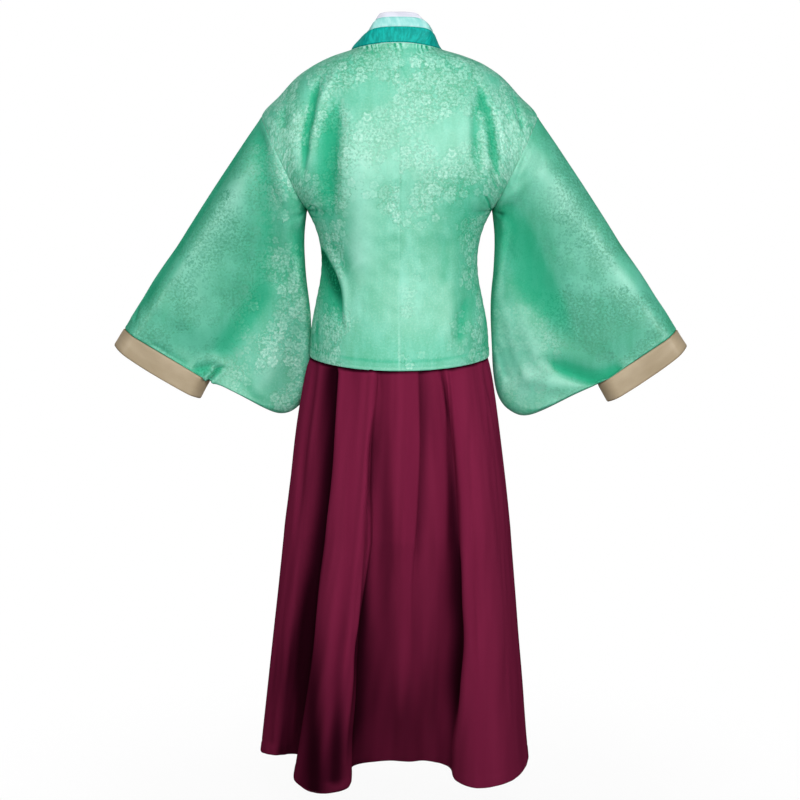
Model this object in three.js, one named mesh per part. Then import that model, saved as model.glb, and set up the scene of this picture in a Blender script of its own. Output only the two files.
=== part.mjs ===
// A kimono set for a grown woman: a short wrapped top with bag sleeves, and a long pleated skirt.
// It keeps the hollow form of being worn. Millimetres, +Z up, front towards -Y, back towards +Y,
// +X on the wearer's left. The origin is the middle of the neck's base, on the shoulder line.
import * as THREE from 'three';

// Cloth
const clothWall = 1.5;
const bandWall = 1.2;
const seamGap = 0.3;
// Turned seams keep a little more room than the gap alone gives
const sleeveStandOff = 0.8;
const cuffStandOff = { x: 1, z: -0.2 };
const collarStandOff = 0.3;
const layerStep = bandWall + 1.4;

// Top, heights below the neck's base
const neckHalfWidth = 85;
const napeZ = -3;
const neckSideZ = -12;
const shoulderTip = { x: 235, z: -124 };
const armpit = { x: 159, z: -281 };
const armholeHalfDepth = 72;
const topHemSideZ = -534;
const topHemBackDrop = 11;
const neckShift = 3.5;
const neckShiftFrom = -20;
const sectionPower = 2.4;
const frontLap = 8;

// Grids
const neckColumns = 4;
const shoulderColumns = 8;
const armholeRows = 10;
const lowerRows = 7;
const shoulderSpacing = 1.35;

// Half width of the outline seen from the back, by height
const topOutline = [
  { z: -12, halfWidth: 85 },
  { z: -22, halfWidth: 113 },
  { z: -49, halfWidth: 163 },
  { z: -89, halfWidth: 204 },
  { z: -124, halfWidth: 235 },
  { z: -281, halfWidth: 159 },
  { z: -313, halfWidth: 144 },
  { z: -354, halfWidth: 135 },
  { z: -395, halfWidth: 136 },
  { z: -437, halfWidth: 144 },
  { z: -479, halfWidth: 152 },
  { z: -534, halfWidth: 156 },
];

// How far the back and the front stand from the middle plane, by height
const topDepths = [
  { z: 0, back: 62, front: 46 },
  { z: -30, back: 74, front: 58 },
  { z: -60, back: 84, front: 70 },
  { z: -124, back: 101, front: 90 },
  { z: -205, back: 112, front: 108 },
  { z: -281, back: 108, front: 116 },
  { z: -375, back: 97, front: 101 },
  { z: -460, back: 110, front: 106 },
  { z: -550, back: 122, front: 114 },
];

// Front edge of the upper front; the under front's is its mirror image
const frontEdge = [
  { z: -12, x: 85 },
  { z: -80, x: 46 },
  { z: -155, x: 3 },
  { z: -281, x: -42 },
  { z: -410, x: -78 },
  { z: -534, x: -104 },
];

// Sleeve: a section for each row, from its upper fold to its lower fold
const sleeveSections = [
  { topX: 235, topZ: -124, lowX: 159, lowZ: -281, arm: 72, bag: 72, armCap: 88, bagCap: 88, shift: 0 },
  { topX: 261, topZ: -160, lowX: 164, lowZ: -330, arm: 66, bag: 48, armCap: 78, bagCap: 70, shift: -6 },
  { topX: 287, topZ: -197, lowX: 163, lowZ: -388, arm: 59, bag: 32, armCap: 68, bagCap: 50, shift: -14 },
  { topX: 313, topZ: -234, lowX: 157, lowZ: -448, arm: 54, bag: 22, armCap: 60, bagCap: 34, shift: -24 },
  { topX: 339, topZ: -272, lowX: 154, lowZ: -508, arm: 50, bag: 17, armCap: 54, bagCap: 26, shift: -34 },
  { topX: 365, topZ: -311, lowX: 154, lowZ: -566, arm: 47, bag: 14, armCap: 50, bagCap: 22, shift: -42 },
  { topX: 388, topZ: -346, lowX: 164, lowZ: -610, arm: 45, bag: 13, armCap: 47, bagCap: 20, shift: -46 },
  { topX: 412, topZ: -379, lowX: 186, lowZ: -635, arm: 43, bag: 13, armCap: 45, bagCap: 20, shift: -47 },
  { topX: 432, topZ: -408, lowX: 214, lowZ: -643, arm: 41, bag: 13, armCap: 42, bagCap: 20, shift: -46 },
  { topX: 450, topZ: -436, lowX: 246, lowZ: -634, arm: 38, bag: 14, armCap: 39, bagCap: 20, shift: -44 },
  { topX: 469, topZ: -464, lowX: 292, lowZ: -612, arm: 34, bag: 17, armCap: 35, bagCap: 22, shift: -40 },
  { topX: 488, topZ: -495, lowX: 340, lowZ: -589, arm: 29, bag: 22, armCap: 30, bagCap: 25, shift: -36 },
];
const cuffEnd =
  { topX: 508, topZ: -526, lowX: 359, lowZ: -623, arm: 29, bag: 23, armCap: 30, bagCap: 25, shift: -36 };
const cuffBow = 4;
const leftBag = { drop: 0, out: 0 };
const rightBag = { drop: 4, out: 12 };
const bagShift = { fromZ: -400, overHeight: 180 };
const bagThinning = 0.55;
const upperShiftShare = 0.7;
const sleeveSideSteps = 10;

// Collar bands: where each starts and ends across the collar, from the neck seam
const collarBands = [
  { name: 'collar_outer', from: 0, to: 27, layer: 0, steps: 2, colour: '#0fa79b' },
  { name: 'collar_middle', from: 16, to: 44, layer: 1, steps: 2, colour: '#9fe5dc' },
  { name: 'collar_inner', from: 38, to: 53, layer: 2, steps: 1, colour: '#e8e4f0' },
];
const collarWidth = 53;
const napeReach = new THREE.Vector3(0, -0.2, 0.98).normalize();
const neckSideReach = new THREE.Vector3(-0.69, 0, 0.72).normalize();
const reachTurn = 2.2;
const layDownRows = 4;
const narrowing = { fromRow: 6, rows: 4 };
const tuckedRows = 9;
const hiddenEnd = { rows: 3, width: 25 };

// Skirt
const waistTopRow = 2;
const waistBottomRow = 3;
const waistInset = { back: clothWall + 0.8, front: clothWall + 1.9 };
const skirtHeights = { waist: -389.4, pleat: -530, knee: -840, hem: -1253 };
const skirtRows = [0, 0.5, 1, 1.06, 1.2, 1.4, 1.7, 2, 2.3, 2.65, 3];

// Folds of the skirt, anticlockwise from the left seam over the back:
// their places where the pleats leave the top, at the knee and at the hem
const skirtFolds = [
  { name: 'left seam', pleatX: 150, pleatY: 0, kneeX: 203, kneeY: 0, hemX: 250, hemY: 8 },
  { name: 'left lobe', pleatX: 143, pleatY: 38, kneeX: 187, kneeY: 50, hemX: 222, hemY: 26 },
  { name: 'left valley', pleatX: 110, pleatY: 75, kneeX: 136, kneeY: 84, hemX: 184, hemY: 22 },
  { name: 'left step', pleatX: 101, pleatY: 86, kneeX: 121, kneeY: 122, hemX: 181, hemY: 150 },
  { name: 'left crest', pleatX: 72, pleatY: 103, kneeX: 92, kneeY: 142, hemX: 136, hemY: 205 },
  { name: 'left ridge', pleatX: 42, pleatY: 113, kneeX: 52, kneeY: 140, hemX: 89, hemY: 184 },
  { name: 'middle valley', pleatX: 34, pleatY: 107, kneeX: 45, kneeY: 114, hemX: 80, hemY: 78 },
  { name: 'middle', pleatX: 2, pleatY: 113, kneeX: 6, kneeY: 124, hemX: 24, hemY: 52 },
  { name: 'soft crest', pleatX: -22, pleatY: 113, kneeX: -20, kneeY: 124, hemX: -14, hemY: 58 },
  { name: 'soft valley', pleatX: -38, pleatY: 108, kneeX: -40, kneeY: 114, hemX: -46, hemY: 52 },
  { name: 'right valley', pleatX: -75, pleatY: 96, kneeX: -101, kneeY: 98, hemX: -82, hemY: 78 },
  { name: 'right step', pleatX: -83, pleatY: 97, kneeX: -109, kneeY: 122, hemX: -98, hemY: 150 },
  { name: 'right crest', pleatX: -108, pleatY: 82, kneeX: -130, kneeY: 130, hemX: -132, hemY: 182 },
  { name: 'right lobe', pleatX: -133, pleatY: 55, kneeX: -166, kneeY: 92, hemX: -184, hemY: 158 },
  { name: 'right turn', pleatX: -147, pleatY: 26, kneeX: -186, kneeY: 46, hemX: -220, hemY: 92 },
  { name: 'right seam', pleatX: -150, pleatY: 0, kneeX: -196, kneeY: 0, hemX: -230, hemY: 8 },
  { name: 'front fold 1', pleatX: -142, pleatY: -33, kneeX: -184, kneeY: -46, hemX: -216, hemY: -58 },
  { name: 'front valley 1', pleatX: -114, pleatY: -68, kneeX: -142, kneeY: -78, hemX: -166, hemY: -84 },
  { name: 'front fold 2', pleatX: -92, pleatY: -85, kneeX: -118, kneeY: -112, hemX: -142, hemY: -142 },
  { name: 'front fold 3', pleatX: -62, pleatY: -98, kneeX: -72, kneeY: -127, hemX: -86, hemY: -160 },
  { name: 'front valley 2', pleatX: -40, pleatY: -98, kneeX: -46, kneeY: -112, hemX: -50, hemY: -116 },
  { name: 'front fold 4', pleatX: -8, pleatY: -106, kneeX: -8, kneeY: -132, hemX: -4, hemY: -162 },
  { name: 'front valley 3', pleatX: 30, pleatY: -101, kneeX: 34, kneeY: -117, hemX: 42, hemY: -122 },
  { name: 'front fold 5', pleatX: 60, pleatY: -98, kneeX: 74, kneeY: -129, hemX: 94, hemY: -163 },
  { name: 'front valley 4', pleatX: 92, pleatY: -80, kneeX: 112, kneeY: -98, hemX: 140, hemY: -104 },
  { name: 'front fold 6', pleatX: 122, pleatY: -63, kneeX: 152, kneeY: -92, hemX: 186, hemY: -120 },
  { name: 'front fold 7', pleatX: 142, pleatY: -33, kneeX: 188, kneeY: -46, hemX: 230, hemY: -50 },
];
const rightSeamFold = 15;
const stepsPerFold = 2;
const skirtFlare = 0.72;
const waistbandSteps = 28;

// Colours
const jadeCloth = '#62c6a2';
const cuffCloth = '#b3a384';
const skirtCloth = '#6a1d3b';

// ---- Small tools

function lerp(a, b, share) {
  return a + (b - a) * share;
}

function smooth(share) {
  const s = Math.min(1, Math.max(0, share));
  return s * s * (3 - 2 * s);
}

// A value between the rows of a table, on a smooth curve through them
function readTable(table, key, at, column) {
  const falling = table[0][key] > table[table.length - 1][key];
  const passed = (row) => (falling ? row[key] > at : row[key] < at);
  let i = table.findIndex((row) => !passed(row)) - 1;
  if (i === -2) i = table.length - 2;
  i = Math.max(0, i);
  const from = table[i];
  const to = table[i + 1];
  const span = to[key] - from[key];
  const slope = (low, high) => (high[column] - low[column]) / (high[key] - low[key]);
  const middle = slope(from, to);
  const before = i > 0 ? (middle + slope(table[i - 1], from)) / 2 : middle;
  const after = i + 2 < table.length ? (middle + slope(to, table[i + 2])) / 2 : middle;
  const t = Math.min(1, Math.max(0, (at - from[key]) / span));
  const curve = (2 * t ** 3 - 3 * t ** 2 + 1) * from[column] + (3 * t ** 2 - 2 * t ** 3) * to[column];
  return curve + ((t ** 3 - 2 * t ** 2 + t) * before + (t ** 3 - t ** 2) * after) * span;
}

// ---- Cloth walls

const cloths = [];

// The neck sits a little towards the left shoulder
function neckShifted(point) {
  return point.clone().setX(point.x + neckShift * smooth((point.z - neckShiftFrom) / -neckShiftFrom));
}

// Keeps a grid of outer points, rows of equal length; hand is 1 or -1, so that normals point out
function addCloth(name, points, hand, options = {}) {
  const rows = points.map((row) => row.map(neckShifted));
  const plain = { wall: clothWall, tube: false, colour: jadeCloth, standOff: [0, 0, 0] };
  cloths.push({ name, rows, hand, ...plain, ...options });
}

function gridNormals({ rows, hand, tube }) {
  const last = rows.length - 1;
  return rows.map((row, r) => row.map((point, c) => {
    const width = row.length;
    const next = tube ? row[(c + 1) % width] : row[Math.min(c + 1, width - 1)];
    const previous = tube ? row[(c + width - 1) % width] : row[Math.max(c - 1, 0)];
    const across = next.clone().sub(previous);
    const down = rows[Math.min(r + 1, last)][c].clone().sub(rows[Math.max(r - 1, 0)][c]);
    return across.cross(down).normalize().multiplyScalar(hand);
  }));
}

function placeKey(point) {
  return point.toArray().map((value) => Math.round(value * 100) + 0).join(' ');
}

// Pieces that share a seam also share its normals, so their walls meet edge to edge
function shareSeamNormals() {
  const sums = new Map();
  for (const cloth of cloths) {
    cloth.flat = gridNormals(cloth);
    cloth.rows.forEach((row, r) => row.forEach((point, c) => {
      const key = placeKey(point);
      if (!sums.has(key)) sums.set(key, new THREE.Vector3());
      sums.get(key).add(cloth.flat[r][c]);
    }));
  }
  for (const cloth of cloths) {
    const shared = (point) => sums.get(placeKey(point)).clone().normalize();
    cloth.normals = cloth.rows.map((row) => row.map(shared));
  }
}

// Draws a free edge in by half the seam's gap, square to the edge and along the cloth
function drawnIn({ rows, hand, tube }, flat) {
  const height = rows.length;
  const width = rows[0].length;
  const shift = (r, c, edges) => {
    const sideways = edges.map(([from, to]) => {
      const along = to.clone().sub(from).normalize();
      return flat[r][c].clone().cross(along).multiplyScalar(hand).normalize();
    });
    const [first, second] = sideways;
    return first.clone().add(second).multiplyScalar(seamGap / 2 / (1 + first.dot(second)));
  };
  return rows.map((row, r) => row.map((point, c) => {
    const wrap = (column) => (tube ? (column + width) % width : column);
    const isTop = r === 0;
    const isBottom = r === height - 1;
    const isStart = !tube && c === 0;
    const isEnd = !tube && c === width - 1;
    if (!isTop && !isBottom && !isStart && !isEnd) return point.clone();
    const left = rows[r][wrap(c - 1)];
    const right = rows[r][wrap(c + 1)];
    const above = isTop ? null : rows[r - 1][c];
    const below = isBottom ? null : rows[r + 1][c];
    let before = left;
    let after = right;
    if (isTop && isStart) [before, after] = [below, right];
    else if (isTop && isEnd) [before, after] = [left, below];
    else if (isBottom && isEnd) [before, after] = [above, left];
    else if (isBottom && isStart) [before, after] = [right, above];
    else if (isBottom) [before, after] = [right, left];
    else if (isStart) [before, after] = [below, above];
    else if (isEnd) [before, after] = [above, below];
    return point.clone().add(shift(r, c, [[before, point], [point, after]]));
  }));
}

function wallGeometry(cloth) {
  const outer = drawnIn(cloth, cloth.flat);
  const { normals, wall, tube, hand } = cloth;
  const height = outer.length;
  const width = outer[0].length;
  const positions = [];
  for (const depth of [0, -wall]) {
    outer.forEach((row, r) => row.forEach((point, c) => {
      positions.push(...point.clone().addScaledVector(normals[r][c], depth).toArray());
    }));
  }
  const inside = height * width;
  const at = (r, c) => r * width + (c % width);
  const triangles = [];
  const quad = (a, b, c, d) => {
    if (hand > 0) triangles.push(a, b, c, a, c, d);
    else triangles.push(a, c, b, a, d, c);
  };
  const columns = tube ? width : width - 1;
  for (let r = 0; r < height - 1; r += 1) {
    for (let c = 0; c < columns; c += 1) {
      quad(at(r, c), at(r, c + 1), at(r + 1, c + 1), at(r + 1, c));
      quad(at(r, c) + inside, at(r + 1, c) + inside, at(r + 1, c + 1) + inside, at(r, c + 1) + inside);
    }
  }
  const rim = (a, b) => quad(a + inside, b + inside, b, a);
  for (let c = 0; c < columns; c += 1) {
    rim(at(0, c), at(0, c + 1));
    rim(at(height - 1, c + 1), at(height - 1, c));
  }
  if (!tube) {
    for (let r = 0; r < height - 1; r += 1) {
      rim(at(r + 1, 0), at(r, 0));
      rim(at(r, width - 1), at(r + 1, width - 1));
    }
  }
  const geometry = new THREE.BufferGeometry();
  geometry.setAttribute('position', new THREE.Float32BufferAttribute(positions, 3));
  geometry.setIndex(triangles);
  geometry.computeVertexNormals();
  return geometry;
}

// ---- The top's surface

function armholeShare(z) {
  return Math.min(1, Math.max(0, (z - shoulderTip.z) / (armpit.z - shoulderTip.z)));
}

function halfWidthAt(z) {
  const share = armholeShare(z);
  if (share > 0 && share < 1) return lerp(shoulderTip.x, armpit.x, share);
  return readTable(topOutline, 'z', Math.min(z, neckSideZ), 'halfWidth');
}

function armholeDepthAt(z) {
  const share = armholeShare(z);
  return armholeHalfDepth * 2 * Math.sqrt(share * (1 - share));
}

// Distance of the cloth from the middle plane at a place seen from the front or back
function depthAt(x, z, side, lap = 0) {
  const edge = armholeDepthAt(z);
  const deepest = readTable(topDepths, 'z', z, side) + lap;
  const share = Math.min(1, Math.abs(x) / halfWidthAt(z));
  const roundness = 2 - edge / armholeHalfDepth;
  return edge + (deepest - edge) * (1 - share ** sectionPower) ** (1 / roundness);
}

function backPoint(x, z) {
  return new THREE.Vector3(x, depthAt(x, z, 'back'), z);
}

function frontPoint(x, z, lap) {
  return new THREE.Vector3(x, -depthAt(x, z, 'front', lap), z);
}

function shoulderPoint(step) {
  const z = lerp(neckSideZ, shoulderTip.z, (step / shoulderColumns) ** shoulderSpacing);
  return { x: halfWidthAt(z), z };
}

function napePoint(step) {
  const share = step / neckColumns;
  return { x: neckHalfWidth * share, z: lerp(napeZ, neckSideZ, share ** 2) };
}

function armholeRowShare(row) {
  return (1 - Math.cos((Math.PI * row) / armholeRows)) / 2;
}

function lowerRowZ(row, hemZ) {
  return lerp(armpit.z, hemZ, row / lowerRows);
}

// Fills in the upper part of a panel, between its top line, its inner edge, the armhole and the chest
function upperPatch(topLine, innerEdge, shares) {
  const last = topLine.length - 1;
  const chestInner = innerEdge(1);
  const rows = [];
  for (let r = 0; r < armholeRows; r += 1) {
    const v = armholeRowShare(r);
    const inner = innerEdge(v);
    rows.push(shares.map((u, c) => {
      const place = {};
      for (const axis of ['x', 'z']) {
        const armhole = lerp(shoulderTip[axis], armpit[axis], v);
        const fromEnds = lerp(topLine[c][axis], lerp(chestInner[axis], armpit[axis], u), v);
        const fromSides = lerp(inner[axis], armhole, u);
        const corners = lerp(
          lerp(topLine[0][axis], topLine[last][axis], u),
          lerp(chestInner[axis], armpit[axis], u),
          v,
        );
        place[axis] = fromEnds + fromSides - corners;
      }
      return place;
    }));
  }
  return rows;
}

// ---- Panels of the top, worked out for the wearer's left and mirrored for the right

function mirrored(rows) {
  return rows.map((row) => row.map((point) => new THREE.Vector3(-point.x, point.y, point.z)));
}

function backPanel() {
  const columns = neckColumns + shoulderColumns;
  const shares = Array.from({ length: columns + 1 }, (_, c) => Math.sin((Math.PI / 2) * (c / columns)));
  const topLine = [];
  for (let c = 0; c < neckColumns; c += 1) topLine.push(napePoint(c));
  for (let c = 0; c <= shoulderColumns; c += 1) topLine.push(shoulderPoint(c));
  const middle = (v) => ({ x: 0, z: lerp(napeZ, armpit.z, v) });
  const rows = upperPatch(topLine, middle, shares);
  for (let r = 0; r <= lowerRows; r += 1) {
    rows.push(shares.map((share) => {
      const z = lowerRowZ(r, topHemSideZ - topHemBackDrop * (1 - share ** 2));
      return { x: halfWidthAt(z) * share, z };
    }));
  }
  const grid = rows.map((row) => row.map(({ x, z }) => backPoint(x, z)));
  pinSide(grid, 1);
  return grid;
}

function edgeX(z) {
  return readTable(frontEdge, 'z', z, 'x');
}

function frontPanel(lap) {
  const turn = (z) => Math.asin(edgeX(z) / halfWidthAt(z));
  const angles = (z) => Array.from(
    { length: shoulderColumns + 1 },
    (_, c) => lerp(turn(z), Math.PI / 2, c / shoulderColumns),
  );
  const chestEdge = edgeX(armpit.z);
  const shares = angles(armpit.z)
    .map((angle) => (armpit.x * Math.sin(angle) - chestEdge) / (armpit.x - chestEdge));
  const topLine = shares.map((_, c) => shoulderPoint(c));
  const edge = (v) => {
    const z = lerp(neckSideZ, armpit.z, v);
    return { x: edgeX(z), z };
  };
  const rows = upperPatch(topLine, edge, shares);
  for (let r = 0; r <= lowerRows; r += 1) {
    const z = lowerRowZ(r, topHemSideZ);
    rows.push(angles(z).map((angle) => ({ x: halfWidthAt(z) * Math.sin(angle), z })));
  }
  const grid = rows.map((row) => row.map(({ x, z }) => frontPoint(x, z, lap)));
  pinSide(grid, -1);
  return grid;
}

// The last column follows the armhole and the side seam exactly
function pinSide(grid, towards) {
  grid.forEach((row, r) => {
    const end = row[row.length - 1];
    if (r <= armholeRows) {
      const v = armholeRowShare(r);
      end.x = lerp(shoulderTip.x, armpit.x, v);
      end.z = lerp(shoulderTip.z, armpit.z, v);
      end.y = towards * armholeHalfDepth * Math.sin((Math.PI * r) / armholeRows);
    } else {
      end.z = lowerRowZ(r - armholeRows, topHemSideZ);
      end.x = halfWidthAt(end.z);
      end.y = 0;
    }
  });
}

// ---- Sleeves and cuffs

// Half thickness of a sleeve section: round over the arm, thin in the hanging bag
function sleeveHalfDepth(section, length, run) {
  const armCap = Math.min(section.armCap, length / 2);
  const bagCap = Math.min(section.bagCap, length / 2);
  const fall = smooth((run - armCap) / (bagThinning * length));
  const plain = lerp(section.arm, section.bag, fall);
  const upper = run < armCap ? Math.sqrt(1 - (1 - run / armCap) ** 2) : 1;
  const rest = length - run;
  const lower = rest < bagCap ? Math.sqrt(Math.max(0, 1 - (1 - rest / bagCap) ** 2)) : 1;
  return plain * upper * lower;
}

// Points round a section: from the upper fold down the back to the lower fold, and up the front
function sleeveRing(section, isArmhole = false, bow = 0) {
  const upper = new THREE.Vector3(section.topX, 0, section.topZ);
  const lower = new THREE.Vector3(section.lowX, 0, section.lowZ);
  const length = upper.distanceTo(lower);
  const outward = new THREE.Vector3(upper.z - lower.z, 0, lower.x - upper.x).normalize();
  const ring = [];
  for (let i = 0; i < 2 * sleeveSideSteps; i += 1) {
    const share = (1 - Math.cos((Math.PI * i) / sleeveSideSteps)) / 2;
    const point = upper.clone().lerp(lower, share);
    const side = i <= sleeveSideSteps ? 1 : -1;
    const round = armholeHalfDepth * Math.sin((Math.PI * i) / sleeveSideSteps);
    const half = isArmhole ? round : side * sleeveHalfDepth(section, length, share * length);
    point.addScaledVector(outward, 4 * bow * share * (1 - share));
    point.y = section.shift * lerp(upperShiftShare, 1, share) + half;
    ring.push(point);
  }
  return ring;
}

// The right sleeve's bag hangs a little lower and further out than the left one's
function hung(section, bag) {
  const share = smooth((bagShift.fromZ - section.lowZ) / bagShift.overHeight);
  const lowX = section.lowX + bag.out * share;
  const lowZ = section.lowZ - bag.drop * share;
  return { ...section, lowX, lowZ };
}

function sleeveRings(bag) {
  return sleeveSections.map((section, k) => sleeveRing(hung(section, bag), k === 0));
}

function cuffRings(bag) {
  const seam = sleeveSections[sleeveSections.length - 1];
  return [sleeveRing(hung(seam, bag)), sleeveRing(hung(cuffEnd, bag), false, cuffBow)];
}

// ---- Collar: stations from the left hem, up over the nape, and down to the tucked right end

function frontReach(row, grid, lap, sideways) {
  const near = grid[Math.max(row - 1, 0)][0];
  const far = grid[row + 1 < grid.length ? row + 1 : row][0];
  const run = Math.hypot(far.x - near.x, far.z - near.z);
  const across = { x: (sideways * (near.z - far.z)) / -run, z: Math.abs(far.x - near.x) / run };
  const base = grid[row][0];
  const width = lerp(collarWidth, collarBands[0].to, smooth((row - narrowing.fromRow) / narrowing.rows));
  const end = frontPoint(base.x + width * across.x, base.z + width * across.z, lap);
  const lying = end.sub(base).normalize();
  const standing = new THREE.Vector3(sideways * neckSideReach.x, neckSideReach.y, neckSideReach.z);
  return standing.lerp(lying, smooth(row / layDownRows)).normalize();
}

function collarStations(backLeft, frontLeft, frontRight) {
  const stations = [];
  for (let r = frontLeft.length - 1; r > 0; r -= 1) {
    stations.push({ base: frontLeft[r][0], reach: frontReach(r, frontLeft, frontLap, 1) });
  }
  for (let c = neckColumns; c >= -neckColumns; c -= 1) {
    const base = backLeft[0][Math.abs(c)].clone();
    const turn = (Math.abs(c) / neckColumns) ** reachTurn;
    const reach = napeReach.clone().lerp(neckSideReach, turn).normalize();
    if (c < 0) {
      base.x *= -1;
      reach.x *= -1;
    }
    stations.push({ base, reach });
  }
  for (let r = 1; r <= tuckedRows; r += 1) {
    stations.push({ base: frontRight[r][0], reach: frontReach(r, frontRight, 0, -1) });
  }
  const middle = stations.map(({ base, reach }) => base.clone().addScaledVector(reach, collarWidth / 2));
  stations.forEach((station, s) => {
    const along = middle[Math.min(s + 1, middle.length - 1)].clone().sub(middle[Math.max(s - 1, 0)]);
    station.inward = station.reach.clone().cross(along).normalize();
  });
  return stations;
}

// The inner bands stop behind the crossing, where the outer band covers them
function collarBand(stations, band) {
  const first = band.layer === 0 ? 0 : lowerRows;
  const rows = [];
  for (let s = first; s < stations.length; s += 1) {
    const { base, reach, inward } = stations[s];
    const hidden = band.layer === 0 ? 0 : smooth((first + hiddenEnd.rows - s) / hiddenEnd.rows);
    const row = [];
    for (let step = 0; step <= band.steps; step += 1) {
      const width = lerp(band.from, band.to, step / band.steps);
      const covered = lerp(width, Math.min(width, hiddenEnd.width), hidden);
      const point = base.clone().addScaledVector(reach, covered);
      row.push(point.addScaledVector(inward, band.layer * layerStep));
    }
    rows.push(row);
  }
  return rows;
}

// ---- Skirt

function waistPoint(x, y, z) {
  const side = y >= 0 ? 'back' : 'front';
  const angle = Math.atan2(Math.abs(y), Math.abs(x));
  const half = halfWidthAt(z) - waistInset[side];
  const deep = readTable(topDepths, 'z', z, side) - waistInset[side];
  const px = half * Math.cos(angle) ** (2 / sectionPower);
  const py = deep * Math.sqrt(1 - (px / half) ** sectionPower);
  return new THREE.Vector3(Math.sign(x) * px, Math.sign(y) * py, z);
}

// One fold's line down the skirt: level 0 is the waist, 1 the pleats' top, 2 the knee, 3 the hem
function foldPoint(fold, level) {
  const pleat = new THREE.Vector3(fold.pleatX, fold.pleatY, skirtHeights.pleat);
  const knee = new THREE.Vector3(fold.kneeX, fold.kneeY, skirtHeights.knee);
  const hem = new THREE.Vector3(fold.hemX, fold.hemY, skirtHeights.hem);
  if (level <= 1) return waistPoint(fold.pleatX, fold.pleatY, skirtHeights.waist).lerp(pleat, level);
  if (level > 2) return knee.lerp(hem, level - 2);
  const share = level - 1;
  const point = pleat.clone().lerp(knee, share ** skirtFlare);
  point.z = lerp(pleat.z, knee.z, share);
  return point;
}

function skirtRing(level) {
  const lines = skirtFolds.map((fold) => foldPoint(fold, level));
  const ring = new THREE.CatmullRomCurve3(lines, true, 'centripetal');
  const points = [];
  const total = skirtFolds.length * stepsPerFold;
  for (let i = 0; i < total; i += 1) points.push(ring.getPoint(i / total));
  return points;
}

function skirtPanels() {
  const rings = skirtRows.map(skirtRing);
  const seam = rightSeamFold * stepsPerFold;
  const back = rings.map((ring) => ring.slice(0, seam + 1));
  const front = rings.map((ring) => [...ring.slice(seam), ring[0].clone()]);
  return { back, front };
}

function waistbandRings() {
  return [waistTopRow, waistBottomRow].map((row) => {
    const z = lowerRowZ(row, topHemSideZ);
    return Array.from({ length: waistbandSteps }, (_, i) => {
      const angle = (2 * Math.PI * i) / waistbandSteps;
      return waistPoint(Math.cos(angle), Math.sin(angle), z);
    });
  });
}

// ---- The set

const backLeft = backPanel();
const frontLeft = frontPanel(frontLap);
const frontRight = mirrored(frontPanel(0));
addCloth('top_back_left', backLeft, 1);
addCloth('top_back_right', mirrored(backLeft), -1);
addCloth('top_front_left', frontLeft, -1);
addCloth('top_front_right', frontRight, 1);

for (const side of ['left', 'right']) {
  const bag = side === 'left' ? leftBag : rightBag;
  const hand = side === 'left' ? -1 : 1;
  const place = side === 'left' ? (rings) => rings : mirrored;
  addCloth(`sleeve_${side}`, place(sleeveRings(bag)), hand, {
    tube: true,
    standOff: [-hand * sleeveStandOff, 0, 0],
  });
  addCloth(`cuff_${side}`, place(cuffRings(bag)), hand, {
    tube: true,
    colour: cuffCloth,
    standOff: [-hand * cuffStandOff.x, 0, cuffStandOff.z],
  });
}

const stations = collarStations(backLeft, frontLeft, frontRight);
for (const band of collarBands) {
  addCloth(band.name, collarBand(stations, band), -1, {
    wall: bandWall,
    colour: band.colour,
    standOff: [0, 0, collarStandOff],
  });
}

const skirt = skirtPanels();
addCloth('skirt_waistband', waistbandRings(), -1, { tube: true, colour: skirtCloth });
addCloth('skirt_back', skirt.back, -1, { colour: skirtCloth });
addCloth('skirt_front', skirt.front, -1, { colour: skirtCloth });

shareSeamNormals();
const kimonoSet = new THREE.Group();
for (const cloth of cloths) {
  const material = new THREE.MeshStandardMaterial({ color: cloth.colour, roughness: 0.45, metalness: 0 });
  const mesh = new THREE.Mesh(wallGeometry(cloth), material);
  mesh.name = cloth.name;
  mesh.position.set(...cloth.standOff);
  kimonoSet.add(mesh);
}

export default kimonoSet;
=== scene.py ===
import math

import bmesh
import bpy
import numpy as np
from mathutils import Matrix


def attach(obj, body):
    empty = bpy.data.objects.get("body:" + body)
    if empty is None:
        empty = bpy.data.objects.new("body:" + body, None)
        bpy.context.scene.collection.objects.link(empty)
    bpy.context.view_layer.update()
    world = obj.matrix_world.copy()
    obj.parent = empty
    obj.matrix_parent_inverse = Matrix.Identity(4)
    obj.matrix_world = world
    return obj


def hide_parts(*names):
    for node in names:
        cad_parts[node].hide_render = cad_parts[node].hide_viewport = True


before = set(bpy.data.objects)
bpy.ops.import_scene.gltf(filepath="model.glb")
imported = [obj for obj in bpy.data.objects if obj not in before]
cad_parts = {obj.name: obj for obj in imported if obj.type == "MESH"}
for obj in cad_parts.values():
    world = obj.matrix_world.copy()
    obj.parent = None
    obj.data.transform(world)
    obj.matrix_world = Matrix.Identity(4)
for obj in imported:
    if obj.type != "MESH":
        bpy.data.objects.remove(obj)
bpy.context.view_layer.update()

scene = bpy.context.scene
mm = 0.001  # the cutting sizes below are in millimetres
print("frame loaded:", len(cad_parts), "cloth solids")


def added(name, data):
    made = bpy.data.objects.new(name, data)
    scene.collection.objects.link(made)
    return made


# Camera, straight behind the set and a little above its middle

cameraRig = {"place": (-0.0009, 2.9, -0.17), "aim": (-0.0009, 0.0, -0.6125), "lens": 75.43}

cameraData = bpy.data.cameras.new("backCamera")
cameraData.lens = cameraRig["lens"]
cameraData.sensor_width = 36
camera = added("backCamera", cameraData)
camera.location = cameraRig["place"]
aimLine = np.array(cameraRig["aim"]) - np.array(cameraRig["place"])
camera.rotation_euler = (math.acos(-aimLine[2] / np.linalg.norm(aimLine)), 0, math.pi)
scene.camera = camera


# Curves and tables

def blend(a, b, share):
    return a + (b - a) * share


def unit(vector):
    return vector / np.linalg.norm(vector, axis=-1, keepdims=True)


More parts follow.
